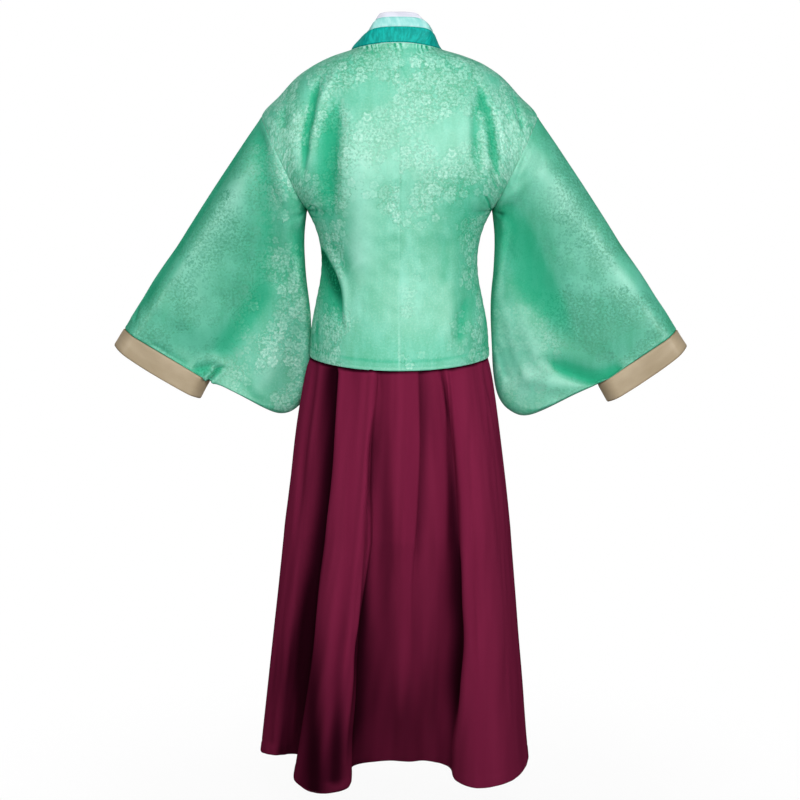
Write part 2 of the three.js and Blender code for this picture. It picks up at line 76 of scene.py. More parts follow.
def ease(share):
    s = np.clip(share, 0, 1)
    return s * s * (3 - 2 * s)


def beside(distance, width):
    # 1 on a line, falling away to both sides of it
    return np.exp(-((distance / width) ** 2))


def slowEnds(share):
    # shares that start and end with small steps
    return (1 - np.cos(math.pi * share)) / 2


def fromTable(rows, at, column=1):
    # a smooth curve through one column of a cutting table
    table = np.array(rows, float)
    table = table[np.argsort(table[:, 0])]
    keys, values = table[:, 0], table[:, column]
    slopes = np.diff(values) / np.diff(keys)
    tangents = np.concatenate([slopes[:1], (slopes[1:] + slopes[:-1]) / 2, slopes[-1:]])
    i = np.clip(np.searchsorted(keys, at) - 1, 0, len(keys) - 2)
    span = keys[i + 1] - keys[i]
    t = np.clip((at - keys[i]) / span, 0, 1)
    curve = (2 * t**3 - 3 * t**2 + 1) * values[i] + (3 * t**2 - 2 * t**3) * values[i + 1]
    return curve + ((t**3 - 2 * t**2 + t) * tangents[i] + (t**3 - t**2) * tangents[i + 1]) * span


def throughPoints(points, count):
    # a smooth line through a few places
    points = np.array(points, float)
    t = np.linspace(0, len(points) - 1, count)
    i = np.clip(t.astype(int), 0, len(points) - 2)
    f = (t - i)[:, None]
    p0, p1 = points[np.maximum(i - 1, 0)], points[i]
    p2, p3 = points[i + 1], points[np.minimum(i + 2, len(points) - 1)]
    bend = (2 * p0 - 5 * p1 + 4 * p2 - p3) * f**2 + (3 * p1 - p0 - 3 * p2 + p3) * f**3
    return p1 + (p2 - p0) * f / 2 + bend / 2


def spaced(count, *fineEnds):
    # shares from 0 to 1, with closer steps at the named ends
    shares = np.linspace(0, 1, count)
    near = np.array([0.08, 0.2, 0.36, 0.56, 0.8]) / (count - 1)
    extra = [near] if "start" in fineEnds else []
    if "end" in fineEnds:
        extra.append(1 - near)
    return np.unique(np.concatenate([shares, *extra]))


# Creases and soft swells

def swell(across, down, size, seed):
    # a slow unevenness, about one high in each patch of that size
    dice = np.random.default_rng(seed)
    total = np.zeros(np.broadcast(across, down).shape)
    for _ in range(8):
        turn, wave, start = dice.uniform(0, 2 * math.pi), size * dice.uniform(0.7, 1.6), dice.uniform(0, 9)
        total += np.sin(2 * math.pi * (across * math.cos(turn) + down * math.sin(turn)) / wave + start)
    return total / 3


def crease(line, width, depth, soft=(1, 1), banks=(0.3, 0.3), fade=(0.3, 0.3), side=1):
    # sinks by depth, or stands out where that is minus; soft and banks are left and right of its line
    return dict(line=line, width=width, depth=depth, soft=soft, banks=banks, fade=fade, side=side)


def creaseDepth(across, down, creases):
    bankPlace, bankWidth = 2.1, 1.4  # in widths of the crease
    total = np.zeros(across.shape)
    for fold in creases:
        line = throughPoints(fold["line"], 6 * len(fold["line"]))
        steps = np.diff(line, axis=0)
        nearest, side, along = np.full(across.shape, np.inf), np.zeros(across.shape), np.zeros(across.shape)
        for k, (start, step) in enumerate(zip(line[:-1], steps)):
            t = np.clip(((across - start[0]) * step[0] + (down - start[1]) * step[1]) / (step @ step), 0, 1)
            dx, dz = across - start[0] - t * step[0], down - start[1] - t * step[1]
            far = np.hypot(dx, dz)
            closer = far < nearest
            nearest = np.where(closer, far, nearest)
            side = np.where(closer, np.sign(step[0] * dz - step[1] * dx), side)
            along = np.where(closer, (k + t) / len(steps), along)
        fadeIn, fadeOut = fold["fade"]
        strength = ease(along / fadeIn + 0.02) * ease((1 - along) / fadeOut + 0.02)
        place = nearest * side / (fold["width"] * (0.45 + 0.55 * strength))
        place = place / np.where(place > 0, *fold["soft"])
        bankLeft, bankRight = fold["banks"]
        profile = bankLeft * beside(place - bankPlace, bankWidth) - beside(place, 1)
        profile += bankRight * beside(place + bankPlace, bankWidth)
        total += fold["depth"] * profile * strength
    return total


def gatherFan(across, down, centre, reach, count, depth, turn, sweep):
    # short folds that run out of one point, as at an armpit
    dx, dz = across - centre[0], down - centre[1]
    far = np.hypot(dx, dz)
    angle = (np.arctan2(dz, dx) - turn + math.pi) % (2 * math.pi) - math.pi
    inFan = ease(1 - np.abs(angle) / sweep * 1.05)
    wobble = 0.7 * np.sin(far / 9 + 3 * angle)
    return depth * np.cos(count * angle + wobble) * inFan * ease(far / 9) * np.exp(-(far / reach) ** 1.5)


# Cloth sheets

def lengthsAlong(points, axis):
    steps = np.linalg.norm(np.diff(points, axis=axis), axis=2)
    start = np.zeros_like(steps[:, :1] if axis == 1 else steps[:1])
    return np.concatenate([start, np.cumsum(steps, axis=axis)], axis=axis)


def measured(points):
    # how far along the cloth each place is from its first and last column, and from its first and last row
    across, down = lengthsAlong(points, 1), lengthsAlong(points, 0)
    return across, across[:, -1:] - across, down, down[-1:] - down


def outwardNormals(points, hand, closed=False):
    if closed:
        wide = np.concatenate([points[:, -2:-1], points, points[:, 1:2]], axis=1)
        across = wide[:, 2:] - wide[:, :-2]
    else:
        across = np.gradient(points, axis=1)
    down = np.gradient(points, axis=0)
    normals = np.cross(across, down) * hand
    return normals / np.maximum(np.linalg.norm(normals, axis=2, keepdims=True), 1e-9)


def seamFall(distance, depth=0.5, rise=0.35):
    # a sewn edge turns in, and the cloth beside it stands up a little
    return rise * beside(distance - 3.6, 2.1) - depth * beside(distance, 1.1)


def pucker(distance, along, pitch, depth, reach, seed):
    # the small pulled waves that stitching leaves beside a seam
    uneven = swell(along, 0 * along, 4.3 * pitch, seed)
    wave = np.sin(2 * math.pi * along / pitch + 1.6 * uneven)
    return depth * wave * (0.6 + 0.4 * uneven) * np.exp(-distance / reach) * ease(distance / 1.5)


def makeSheet(name, points, normals, uv, finish, wall, closed, paintedShading):
    # a grid of cloth that carries its map and its painted shade and highlight, thickened inwards
    rows, columns = points.shape[:2]
    cloth = bmesh.new()
    bmesh.ops.create_grid(cloth, x_segments=columns - 1, y_segments=rows - 1, size=1)
    cloth.faces.ensure_lookup_table()
    places, map2d = points.reshape(-1, 3) * mm, uv.reshape(-1, 2) * mm
    # the painted shade and highlight, one value a corner
    paintedShadingLayer = cloth.verts.layers.float.new("paintedShading")
    for vert, place, paintedShadingValue in zip(cloth.verts, places, paintedShading.ravel()):
        vert.co = place
        vert[paintedShadingLayer] = paintedShadingValue
    layer = cloth.loops.layers.uv.new("clothMap")
    for face in cloth.faces:
        face.smooth = True
        for loop in face.loops:
            loop[layer].uv = map2d[loop.vert.index]
    cloth.normal_update()
    middle = cloth.faces[len(cloth.faces) // 2 + columns // 3]
    if middle.normal.dot(normals.reshape(-1, 3)[middle.verts[0].index]) < 0:
        bmesh.ops.reverse_faces(cloth, faces=cloth.faces)
    if closed:
        bmesh.ops.remove_doubles(cloth, verts=cloth.verts, dist=1e-6)
    mesh = bpy.data.meshes.new(name)
    cloth.to_mesh(mesh)
    cloth.free()
    mesh.materials.append(finish)
    piece = added(name, mesh)
    thickness = piece.modifiers.new("clothWall", "SOLIDIFY")
    thickness.thickness = wall * mm
    thickness.offset = -1
    return piece


def areaOf(points):
    across, down = np.diff(points, axis=1)[:-1], np.diff(points, axis=0)[:, :-1]
    return float(np.linalg.norm(np.cross(across, down), axis=2).sum()) * mm * mm


def sew(name, node, finish, cut, points, normals, uv, paintedShading, closed=False):
    # a piece that rides the body, stands for its solid, and says what it was cut from
    piece = makeSheet(name, points, normals, uv, finish, cut["wall"], closed, paintedShading)
    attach(piece, "root")
    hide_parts(node)
    print(f"{piece.name}: {areaOf(points):.3f} m2 of cloth, cut {cut['area']:.3f}")


def paintedShadingOf(creases, deepest):
    # how deep the cloth lies in painted shade: 0 on the flat, 1 in a deep fold and more in a pocket, below 0
    # a painted highlight on the ridges
    return np.clip(-creases / deepest, -1, 1.6)


def paintedSideShade(normals, deepest):
    # painted shade: cloth that faces the sides is painted a little deeper in tone, most at its folded edges
    return deepest * np.abs(normals[..., 0]) ** 3


# Materials

class Thread:
    def __init__(self, tree, socket=None):
        self.tree = tree
        self.socket = socket

    def node(self, kind, settings=None, inputs=None, output=0):
        made = self.tree.nodes.new(kind)
        for key, value in (settings or {}).items():
            setattr(made, key, value)
        for key, value in (inputs or {}).items():
            if isinstance(value, Thread):
                self.tree.links.new(value.socket, made.inputs[key])
            else:
                made.inputs[key].default_value = value
        return Thread(self.tree, made.outputs[output] if made.outputs else None)

    def other(self, output):
        # another output of the same node
        return Thread(self.tree, self.socket.node.outputs[output])

    def maths(self, operation, a, b=0.0, c=0.0):
        return self.node("ShaderNodeMath", {"operation": operation}, {0: a, 1: b, 2: c})

    def __abs__(self):
        return self.maths("ABSOLUTE", self)

    def __add__(self, other):
        return self.maths("ADD", self, other)

    def __sub__(self, other):
        return self.maths("SUBTRACT", self, other)

    def __rsub__(self, other):
        return self.maths("SUBTRACT", other, self)

    def __mul__(self, other):
        return self.maths("MULTIPLY", self, other)

    def __pow__(self, other):
        return self.maths("POWER", self, other)

    __radd__ = __add__
    __rmul__ = __mul__

    def clear(self, low, high):
        # 0 below low, 1 above high, smooth between
        return self.node(
            "ShaderNodeMapRange",
            {"interpolation_type": "SMOOTHSTEP"},
            {"Value": self, "From Min": low, "From Max": high},
        )

    def either(self, other):
        return self.maths("MAXIMUM", self, other)

    def mix(self, first, second):
        # colours, with this value as the factor
        return self.node("ShaderNodeMix", {"data_type": "RGBA"}, {0: self, 6: first, 7: second}, 2)

    def placed(self, scale, shift=(0.0, 0.0, 0.0)):
        return self.node("ShaderNodeMapping", {}, {"Vector": self, "Location": shift, "Scale": scale})

    def noise(self, scale, detail=2.0):
        values = {"Vector": self, "Scale": scale, "Detail": detail}
        return self.node("ShaderNodeTexNoise", {"noise_dimensions": "2D"}, values)


def shade(hexColour):
    # a written colour in linear light
    parts = [int(hexColour[i : i + 2], 16) / 255 for i in (1, 3, 5)]
    return (*[p / 12.92 if p <= 0.04045 else ((p + 0.055) / 1.055) ** 2.4 for p in parts], 1.0)


def emptied(owner):
    # the start of a node tree with nothing in it
    owner.use_nodes = True
    owner.node_tree.nodes.clear()
    return Thread(owner.node_tree)


def newFinish(name):
    material = bpy.data.materials.new(name)
    thread = emptied(material)
    cloth = thread.node("ShaderNodeUVMap", {"uv_map": "clothMap"})
    # the painted shade and highlight that each cloth sheet carries
    paintedShading = thread.node("ShaderNodeAttribute", {"attribute_name": "paintedShading"}, {}, "Fac")
    return material, cloth, paintedShading


def weave(cloth, pitch):
    # fine crossed threads, lying flatter along than across as satin does
    floats = cloth.placed((1 / pitch, 0.16 / pitch, 1)).noise(1.0, 1.5)
    picks = cloth.placed((0.3 / pitch, 0.9 / pitch, 1)).noise(1.0, 1.0)
    return floats * 0.7 + picks * 0.3


def finishCloth(material, colour, roughness, relief, look, matt):
    # relief is a height in metres over the cloth; matt is how far its gloss is lost in the folds
    normal = colour.node("ShaderNodeBump", {}, {"Height": relief, "Strength": look["bump"], "Distance": 1.0})
    base = {"Base Color": colour, "Normal": normal}
    glossy = {"Roughness": roughness, "Specular IOR Level": look["gloss"], **look.get("sheen", {})}
    shader = colour.node("ShaderNodeBsdfPrincipled", {}, {**base, **glossy})
    dull = colour.node("ShaderNodeBsdfPrincipled", {}, {**base, "Roughness": 1.0, "Specular IOR Level": 0.0})
    both = colour.node("ShaderNodeMixShader", {}, {0: matt, 1: shader, 2: dull})
    colour.node("ShaderNodeOutputMaterial", {}, {"Surface": both})
    return material


threadHeight = 0.00006
jacquardLook = {
    "ground": shade("#59ba9d"),
    "shadeTone": shade("#39a681"),
    "blossom": shade("#a0d1c0"),
    # painted shade: the flowers' colour towards the sleeves' outer ends
    "blossomInPaintedShade": shade("#329476"),
    "etched": shade("#1e8a62"),
    # painted shade in the folds and in the deepest fold, and a painted highlight on the ridges
    "deep": shade("#229872"),
    "pocketShade": shade("#00553a"),
    "ridge": shade("#8dd2bc"),
    "scatter": 0.82,
    "petals": 5,
    "flowerPitch": 0.0208,
    "smallFlower": 0.78,  # of the pitch
    "budPitch": 0.0075,
    "flowerHeight": 0.00004,
    "threadPitch": 0.00045,
    "clusters": 0.22,  # how many to a flower's pitch
    "bump": 0.9,
    "gloss": 1.3,
    "groundRoughness": 0.5,
    "blossomRoughness": 0.68,
}


def blossoms(cloth, ragged, pitch, shift, size, keep, crowd=0.0):
    # one flower in a cell of a loose scatter; its turn, size and presence come from the cell
    place = cloth.placed((1 / pitch,) * 3, shift)
    scatter = {"Vector": place, "Scale": 1.0, "Randomness": jacquardLook["scatter"]}
    cells = cloth.node("ShaderNodeTexVoronoi", {"voronoi_dimensions": "2D"}, scatter)
    centre = cells.other("Position")
    diceSpin = cloth.node("ShaderNodeSeparateColor", {}, {0: cells.other("Color")})
    diceSize, diceBright = diceSpin.other(1), diceSpin.other(2)
    inside = cloth.node("ShaderNodeVectorMath", {"operation": "SUBTRACT"}, {0: place, 1: centre})
    x = cloth.node("ShaderNodeSeparateXYZ", {}, {0: inside})
    far = cloth.node("ShaderNodeVectorMath", {"operation": "LENGTH"}, {0: inside}, "Value")
    angle = cloth.maths("ARCTAN2", x.other(1), x) + diceSpin * 6.28
    lobe = abs(cloth.maths("COSINE", angle * (jacquardLook["petals"] / 2)))
    reach = (diceSize * 0.3 + 0.85) * size
    edge = reach * (lobe**0.55 * 0.42 + 0.58) + (ragged - 0.5) * 0.46
    petals = (edge - far).clear(0.0, 0.05)
    gaps = (lobe * far).clear(0.0, 0.05)  # nothing on the lines between petals
    heart = 1 - abs(far - reach * 0.27).clear(0.03, 0.07)
    present = (centre.noise(jacquardLook["clusters"], 1.0) + crowd).clear(keep - 0.02, keep + 0.02)
    light = petals * (gaps * 0.6 + 0.4) * (1 - heart * 0.6) * (diceBright * 0.75 + 0.35) * present
    outline = 1 - abs(far - edge - 0.045).clear(0.015, 0.09)
    return light, outline * present


def jacquardFinish(name, shift, shown=1.0, paintedGroundLight=1.0, sparse=0.475, etching=0.7, dulled=0.0,
                   blossomShadeSpan=None, calmAt=None, crowded=False):
    # satin ground with plum blossoms in loose clusters, and a fine scatter of buds between
    look = jacquardLook
    material, cloth, paintedShading = newFinish(name)
    body = cloth.node("ShaderNodeSeparateXYZ", {}, {0: cloth.node("ShaderNodeTexCoord", {}, {}, "Object")})
    aside, below = abs(body), body.other(2) * -1.0
    crowd = 0.045 - below.clear(0.26, 0.34) * (1 - aside.clear(0.07, 0.11)) * 0.27 if crowded else 0.0
    pitch = look["flowerPitch"]
    smallShift, budShift = (shift[1] + 3.7, shift[0] + 1.3, 0), (shift[0] * 2, 7.7, 0)
    ragged = cloth.noise(250.0, 1.5)
    big, bigEdge = blossoms(cloth, ragged, pitch, shift, 0.5, sparse, crowd)
    small, smallEdge = blossoms(
        cloth, ragged, pitch * look["smallFlower"], smallShift, 0.46, sparse + 0.045, crowd
    )
    buds, _ = blossoms(cloth, ragged, look["budPitch"], budShift, 0.4, 0.47)
    near = (cloth.placed((1 / pitch,) * 3, shift).noise(look["clusters"], 1.0) + crowd).clear(0.42, 0.55)
    slow = cloth.noise(9.0, 3.0)
    streaks = cloth.placed((70.0, 22.0, 1.0)).noise(1.0, 3.0)
    cloudy = cloth.noise(420.0)
    fine = weave(cloth, look["threadPitch"])
    specks = cloth.noise(250.0, 1.0).clear(0.56, 0.63)
    broken = cloth.noise(215.0, 1.0).clear(0.42, 0.58)
    flowers = big.either(small * 0.75).either(buds * near * 0.6) * (broken * 0.6 + 0.4)
    flowers = flowers.either(specks * (near * 0.6 + 0.12))
    dims = bigEdge.either(smallEdge * 0.8) * ragged.clear(0.44, 0.56)
    dims = dims.either(cloth.noise(230.0, 1.0).clear(0.56, 0.64) * (near * 0.7 + 0.12))
    tone = (slow * 0.4 + streaks * 0.35 + cloudy * 0.25).clear(0.34, 0.66)
    # random tone, and painted shade over the whole ground where the ground's light is set below 1
    ground = (tone * paintedGroundLight).mix(look["shadeTone"], look["ground"])
    # painted highlight on the ridges
    ground = (paintedShading * -1.0).clear(0.05, 1.0).mix(ground, look["ridge"])
    blossom = look["blossom"]
    if blossomShadeSpan:  # painted shade: away from the body its flowers are painted darker than the ground
        away = aside + slow * 0.12 + below.clear(0.52, 0.4) * 0.07 - 0.06
        blossom = away.clear(*blossomShadeSpan).mix(blossom, look["blossomInPaintedShade"])
    if calmAt:  # fewer flowers show round this distance from the middle
        calm = abs(aside - calmAt).clear(0.02, 0.08) * 0.65 + 0.35
        flowers, dims = flowers * calm, dims * calm
    # painted shade in the folds and in the deepest fold, where the flowers fade too
    deep = paintedShading.clear(0.0, 1.1)
    flowers = flowers * (1 - deep * 0.45)
    colour = (flowers * (slow * 0.8 + 0.45) * shown).mix(ground, blossom)
    colour = (deep * 0.9 * (1 - flowers * 0.35)).mix(colour, look["deep"])
    colour = paintedShading.clear(0.9, 1.7).mix(colour, look["pocketShade"])
    colour = (dims * etching).mix(colour, look["etched"])
    rough, smooth = look["blossomRoughness"], look["groundRoughness"]
    roughness = flowers * (rough - smooth) + cloudy * 0.08 + deep * 0.4 + (smooth - 0.04)
    relief = flowers * look["flowerHeight"] + fine * threadHeight + cloudy * 0.00004
    matt = paintedShading.clear(0.0, 0.6) * (0.95 - dulled) + dulled
    return finishCloth(material, colour, roughness, relief, look, matt)


cuffSheen = {"Sheen Weight": 0.08, "Sheen Roughness": 0.45, "Sheen Tint": shade("#f0e6cf")}
satinLooks = {  # shades light and dark, and a painted shade for the folds; mottle is its scale along and across
    "cuffSatin": {"shades": ("#b2a187", "#a08f74", "#6f6248"), "bump": 0.8, "gloss": 0.3, "roughness": 0.45,
                  "mottle": (9.0, 20.0), "pitch": 0.0005, "sheen": cuffSheen},
    "tealSatin": {"shades": ("#0ca59a", "#03867e", "#02645e"), "bump": 0.9, "gloss": 0.1, "roughness": 0.5,
                  "mottle": (210.0, 80.0), "pitch": 0.0005},
    "aquaSatin": {"shades": ("#a2d1cd", "#82c4bf", "#6fb5b0"), "bump": 0.9, "gloss": 0.15, "roughness": 0.5,
                  "mottle": (150.0, 60.0), "pitch": 0.0005},
    "whiteSatin": {"shades": ("#cccdd8", "#bfc0cc", "#a9a9b8"), "bump": 0.8, "gloss": 0.2, "roughness": 0.5,
                   "mottle": (40.0, 90.0), "pitch": 0.0005},
    "skirtSatin": {"shades": ("#721f3c", "#6a1b37", "#1b030c"), "bump": 0.8, "gloss": 0.0, "roughness": 0.55,
                   "mottle": (30.0, 1.6), "pitch": 0.0006},
}


def satinFinish(name):
    look = satinLooks[name]
    light, dark, folded = (shade(colour) for colour in look["shades"])
    material, cloth, paintedShading = newFinish(name)
    mottle = cloth.placed((*look["mottle"], 1.0)).noise(1.0, 3.0)
    fine = weave(cloth, look["pitch"])
    deep = paintedShading.clear(0.0, 1.3)
    colour = (mottle * 0.8 + fine * 0.2).clear(0.32, 0.68).mix(dark, light)
    # painted shade in the folds
    colour = (deep * 0.95).mix(colour, folded)
    roughness = mottle * 0.1 + fine * 0.08 + deep * 0.2 + (look["roughness"] - 0.09)
    relief = fine * threadHeight + mottle * 0.00008
    return finishCloth(material, colour, roughness, relief, look, deep)


jadeBack = jacquardFinish("jadeJacquardBack", (0.0, 0.0, 0.0), crowded=True)
jadeFront = jacquardFinish("jadeJacquardFront", (4.3, 2.1, 0.0))
jadeSleeves = {
    # painted shade: the left sleeve's ground is painted darker, and on both sleeves the flowers towards the
    # outer ends
    "Left": jacquardFinish("jadeJacquardLeftSleeve", (8.9, 5.6, 0.0), paintedGroundLight=0.7, sparse=0.46,
                           etching=0.55, dulled=0.2, blossomShadeSpan=(0.26, 0.34)),
    "Right": jacquardFinish("jadeJacquardRightSleeve", (2.2, 9.1, 0.0), shown=1.1, sparse=0.4,
                            etching=0.6, blossomShadeSpan=(0.22, 0.3), calmAt=0.2),
}
satins = {name: satinFinish(name) for name in satinLooks}
print("finishes ready")


# The top's cut

topCut = {
    "neckHalfWidth": 80,
    "napeZ": -3,
    "neckSideZ": -12,
    "shoulderTip": (235, -124),
    "armpit": (159, -281),
    "armholeHalfDepth": 72,
    "armholeSoftness": 0.12,
    "hemSideZ": -534,
    "hemDrop": 11,
    "neckShift": 3.5,
    "neckShiftFrom": -20,
    "neckLean": [  # height and how far, on the right side alone
        (-34, 0), (-12, 6), (7, -3.5), (20, -10), (32, -9), (41, -5), (52, -4),
    ],
    "power": 2.4,
    "frontLap": 8,
    "outline": [
        (-12, 80), (-22, 112), (-49, 163), (-89, 204), (-124, 235), (-281, 159),
        (-313, 144), (-354, 135), (-395, 136), (-437, 144), (-479, 152), (-534, 156),
    ],
    "depths": [  # height, back, front
        (0, 62, 46), (-30, 74, 58), (-60, 84, 70), (-124, 101, 90), (-205, 112, 108),
        (-281, 108, 116), (-375, 103, 103), (-460, 110, 106), (-550, 122, 114),
    ],
    "frontEdge": [(-12, 80), (-80, 46), (-155, 3), (-281, -42), (-410, -78), (-534, -104)],
}
tipX, tipZ = topCut["shoulderTip"]
pitX, pitZ = topCut["armpit"]


def armholeShare(z, past=0):
    return np.clip((z - tipZ) / (pitZ - tipZ), -past, 1 + past)


def halfWidthAt(z):
    share = armholeShare(z)
    outline = fromTable(topCut["outline"], np.minimum(z, topCut["neckSideZ"]))
    return np.where((share > 0) & (share < 1), blend(tipX, pitX, share), outline)


def depthAt(x, z, side, lap=0):
    # the armhole's ring at the edge, softening away from it into the panel
    out = np.minimum(1, np.abs(x) / halfWidthAt(z))
    share = armholeShare(z, past=2)
    ring, soft = share * (1 - share), topCut["armholeSoftness"] * (1 - out)
    edge = topCut["armholeHalfDepth"] * 2 * np.sqrt((ring + np.sqrt(ring**2 + soft**2)) / 2)
    deepest = fromTable(topCut["depths"], z, 1 if side == "back" else 2) + lap
    roundness = 2 - np.minimum(1, edge / topCut["armholeHalfDepth"])
    return edge + (deepest - edge) * (1 - out ** topCut["power"]) ** (1 / roundness)


def shoulderLine(step):
    z = blend(topCut["neckSideZ"], tipZ, np.maximum(step, 0) ** 1.35)
    return halfWidthAt(z), z


def napeLine(share):
    return topCut["neckHalfWidth"] * share, blend(topCut["napeZ"], topCut["neckSideZ"], share**2)


def edgeX(z):
    return fromTable(topCut["frontEdge"], z)


def neckMoved(points):
    shift = topCut["neckShift"] * ease((points[..., 2] - topCut["neckShiftFrom"]) / -topCut["neckShiftFrom"])
    lean = fromTable(topCut["neckLean"], np.clip(points[..., 2], -34, 52))
    lean = lean * ease(-points[..., 0] / 40) * ease((points[..., 1] + 80) / 100)
    moved = points.copy()
    moved[..., 0] += shift + lean
    return moved


def upperPatch(topX, topZ, innerX, innerZ, chestX, u, v):
    # between the top line, the inner edge, the armhole and the chest
    def axis(top, inner, tip, pit, chest):
        armhole, chestLine = blend(tip, pit, v), blend(chest, pit, u)
        fromEnds, fromSides = blend(top, chestLine, v), blend(inner, armhole, u)
        corners = blend(blend(top[0, 0], top[0, -1], u), chestLine, v)
        return fromEnds + fromSides - corners
    return axis(topX, innerX, tipX, pitX, chestX), axis(topZ, innerZ, tipZ, pitZ, pitZ)


def panelShares(cut):
    # across a panel, down it to the chest and on to the hem
    upper = slowEnds(spaced(cut["upperRows"], "start")[:-1])[:, None]
    return spaced(cut["columns"], "start", "end")[None], upper, spaced(cut["lowerRows"], "end")[:, None]


def backGrid(cut):
    c, v, t = panelShares(cut)
    u = np.sin(math.pi / 2 * c)
    step = c * 12  # four steps over the nape and eight down the shoulder
    napeX, napeZ = napeLine(np.clip(step / 4, 0, 1))
    sideX, sideZ = shoulderLine((step - 4) / 8)
    topX, topZ = np.where(step < 4, napeX, sideX), np.where(step < 4, napeZ, sideZ)
    upperX, upperZ = upperPatch(topX, topZ, 0 * v, blend(topCut["napeZ"], pitZ, v), 0, u, v)
    lowerZ = blend(pitZ, topCut["hemSideZ"] - topCut["hemDrop"] * (1 - u**2), t)
    lowerX = halfWidthAt(lowerZ) * u
    x, z = np.concatenate([upperX, lowerX]), np.concatenate([upperZ, lowerZ])
    return np.stack([x, depthAt(x, z, "back"), z], axis=2)


def frontGrid(cut, lap):
    c, v, t = panelShares(cut)

    def angles(z):
        return blend(np.arcsin(edgeX(z) / halfWidthAt(z)), math.pi / 2, c)
    chestEdge = edgeX(pitZ)
    u = (pitX * np.sin(angles(np.array(pitZ))) - chestEdge) / (pitX - chestEdge)
    topX, topZ = shoulderLine(c)
    innerZ = blend(topCut["neckSideZ"], pitZ, v)
    upperX, upperZ = upperPatch(topX, topZ, edgeX(innerZ), innerZ, chestEdge, u, v)
    lowerZ = blend(pitZ, topCut["hemSideZ"], t) + 0 * u
    lowerX = halfWidthAt(lowerZ) * np.sin(angles(lowerZ))
    x, z = np.concatenate([upperX, lowerX]), np.concatenate([upperZ, lowerZ])
    return np.stack([x, -depthAt(x, z, "front", lap), z], axis=2)


# Creases of the back, in the garment's own X and Z, uneven from side to side
backCreases = [
    crease([(128, -48), (139, -83), (145, -114), (152, -147), (157, -188), (161, -236)], width=5.5, depth=8,
           soft=(1.8, 1), banks=(0.3, 0.1), fade=(0.25, 0.3)),
    crease([(100, -42), (120, -78), (133, -106)], width=6, depth=-3.5, banks=(0, 0)),
    crease([(98, -72), (106, -127), (111, -179), (114, -237), (115, -287), (113, -327)], width=16,
           depth=8.5, soft=(1.6, 0.8), banks=(0, 0.15), fade=(0.3, 0.45)),
    crease([(66, -60), (66, -150), (64, -250), (62, -350), (58, -440)], width=30, depth=-4.6, banks=(0, 0),
           fade=(0.5, 0.25)),
    crease([(193, -108), (194, -146)], width=8, depth=3.5, banks=(0.2, 0.4)),
    crease([(132, -68), (140, -97), (150, -124), (155, -153), (160, -191), (167, -240)], width=7, depth=9,
           soft=(1, 1.5), banks=(0.25, 0.15), fade=(0.2, 0.25), side=-1),
    crease([(150, -208), (158, -232), (166, -246)], width=3, depth=5, banks=(0.4, 0.4), fade=(0.5, 0.1),
           side=-1),
    crease([(142, -254), (150, -266), (156, -282)], width=2, depth=5.5, banks=(0.5, 0.4), fade=(0.3, 0.05),
           side=-1),
    crease([(138, -288), (146, -290), (154, -287)], width=1.8, depth=3.5, fade=(0.6, 0.05), side=-1),
    crease([(154, -284), (151, -275), (144, -274), (140, -281), (144, -289)], width=1.8, depth=4.5,
           banks=(0.5, 0.4), fade=(0.2, 0.2)),
    crease([(128, -289), (141, -292), (152, -291)], width=2, depth=4, fade=(0.7, 0.1)),
    crease([(186, -76), (194, -98), (201, -127), (209, -150)], width=4.5, depth=4, banks=(0.3, 0.5),
           side=-1),
    crease([(80, -17), (98, -28), (111, -41), (124, -70)], width=2.4, depth=-4, banks=(-0.7, -0.2),
           fade=(0.1, 0.5), side=-1),
    crease([(128, -80), (126, -130), (128, -179), (132, -229)], width=9, depth=5, soft=(1.4, 1),
           banks=(0.2, 0.3), side=-1),
    crease([(104, -205), (110, -287), (118, -360)], width=30, depth=2.6, banks=(0.1, 0.1), side=-1),
    crease([(138, -340), (125, -364), (115, -383), (107, -404), (102, -426), (100, -448), (96, -470),
           (91, -492)], width=6.5, depth=13, soft=(2.6, 0.8), banks=(0.1, 0.3), fade=(0.1, 0.6)),
    crease([(138, -372), (128, -410), (120, -452), (116, -500)], width=15, depth=3.5, banks=(0, 0),
           fade=(0.3, 0.4)),
    crease([(124, -330), (104, -360), (94, -388)], width=9, depth=3.5, soft=(1, 1.6)),
    crease([(150, -486), (149, -508), (138, -526)], width=4, depth=3, banks=(0.3, 0.6)),
    crease([(139, -466), (141, -500), (132, -522)], width=4.5, depth=3, banks=(0.5, 0.4)),
    crease([(118, -420), (105, -460), (100, -508)], width=9, depth=3.5, soft=(1.5, 1), side=-1),
    crease([(66, -316), (78, -365), (70, -416)], width=14, depth=1.8, side=-1),
    crease([(150, -450), (148, -490), (148, -524)], width=7, depth=3, side=-1),
    crease([(16, -6), (8, -24), (0, -42)], width=2, depth=-2, banks=(-0.6, -0.1), fade=(0.1, 0.3)),
    crease([(0, -42), (7, -58), (14, -76)], width=2, depth=-2, banks=(-0.1, -0.6),
           side=-1),
]
frontCreases = [
    crease([(134, -80), (146, -130), (158, -205)], width=9, depth=7, banks=(0.3, 0.5), side=-1),
    crease([(130, -74), (142, -124), (156, -214)], width=9, depth=7, banks=(0.3, 0.5)),
    crease([(176, -70), (190, -112), (206, -150)], width=7, depth=4, side=-1),
    crease([(178, -74), (192, -118), (204, -152)], width=7, depth=4),
    crease([(140, -300), (100, -330), (50, -352)], width=11, depth=4),
    crease([(140, -304), (104, -338), (70, -356)], width=11, depth=4, side=-1),
    crease([(128, -372), (84, -402), (40, -420)], width=10, depth=3.4),
    crease([(130, -380), (112, -430), (108, -500)], width=12, depth=3.4, side=-1),
    crease([(116, -420), (100, -470), (96, -520)], width=13, depth=3),
    crease([(30, -380), (10, -450), (6, -520)], width=20, depth=2),
]


def sided(creases, mirror):
    # the creases of one half, its own X counted out from the middle
    return [fold for fold in creases if fold["side"] == mirror]


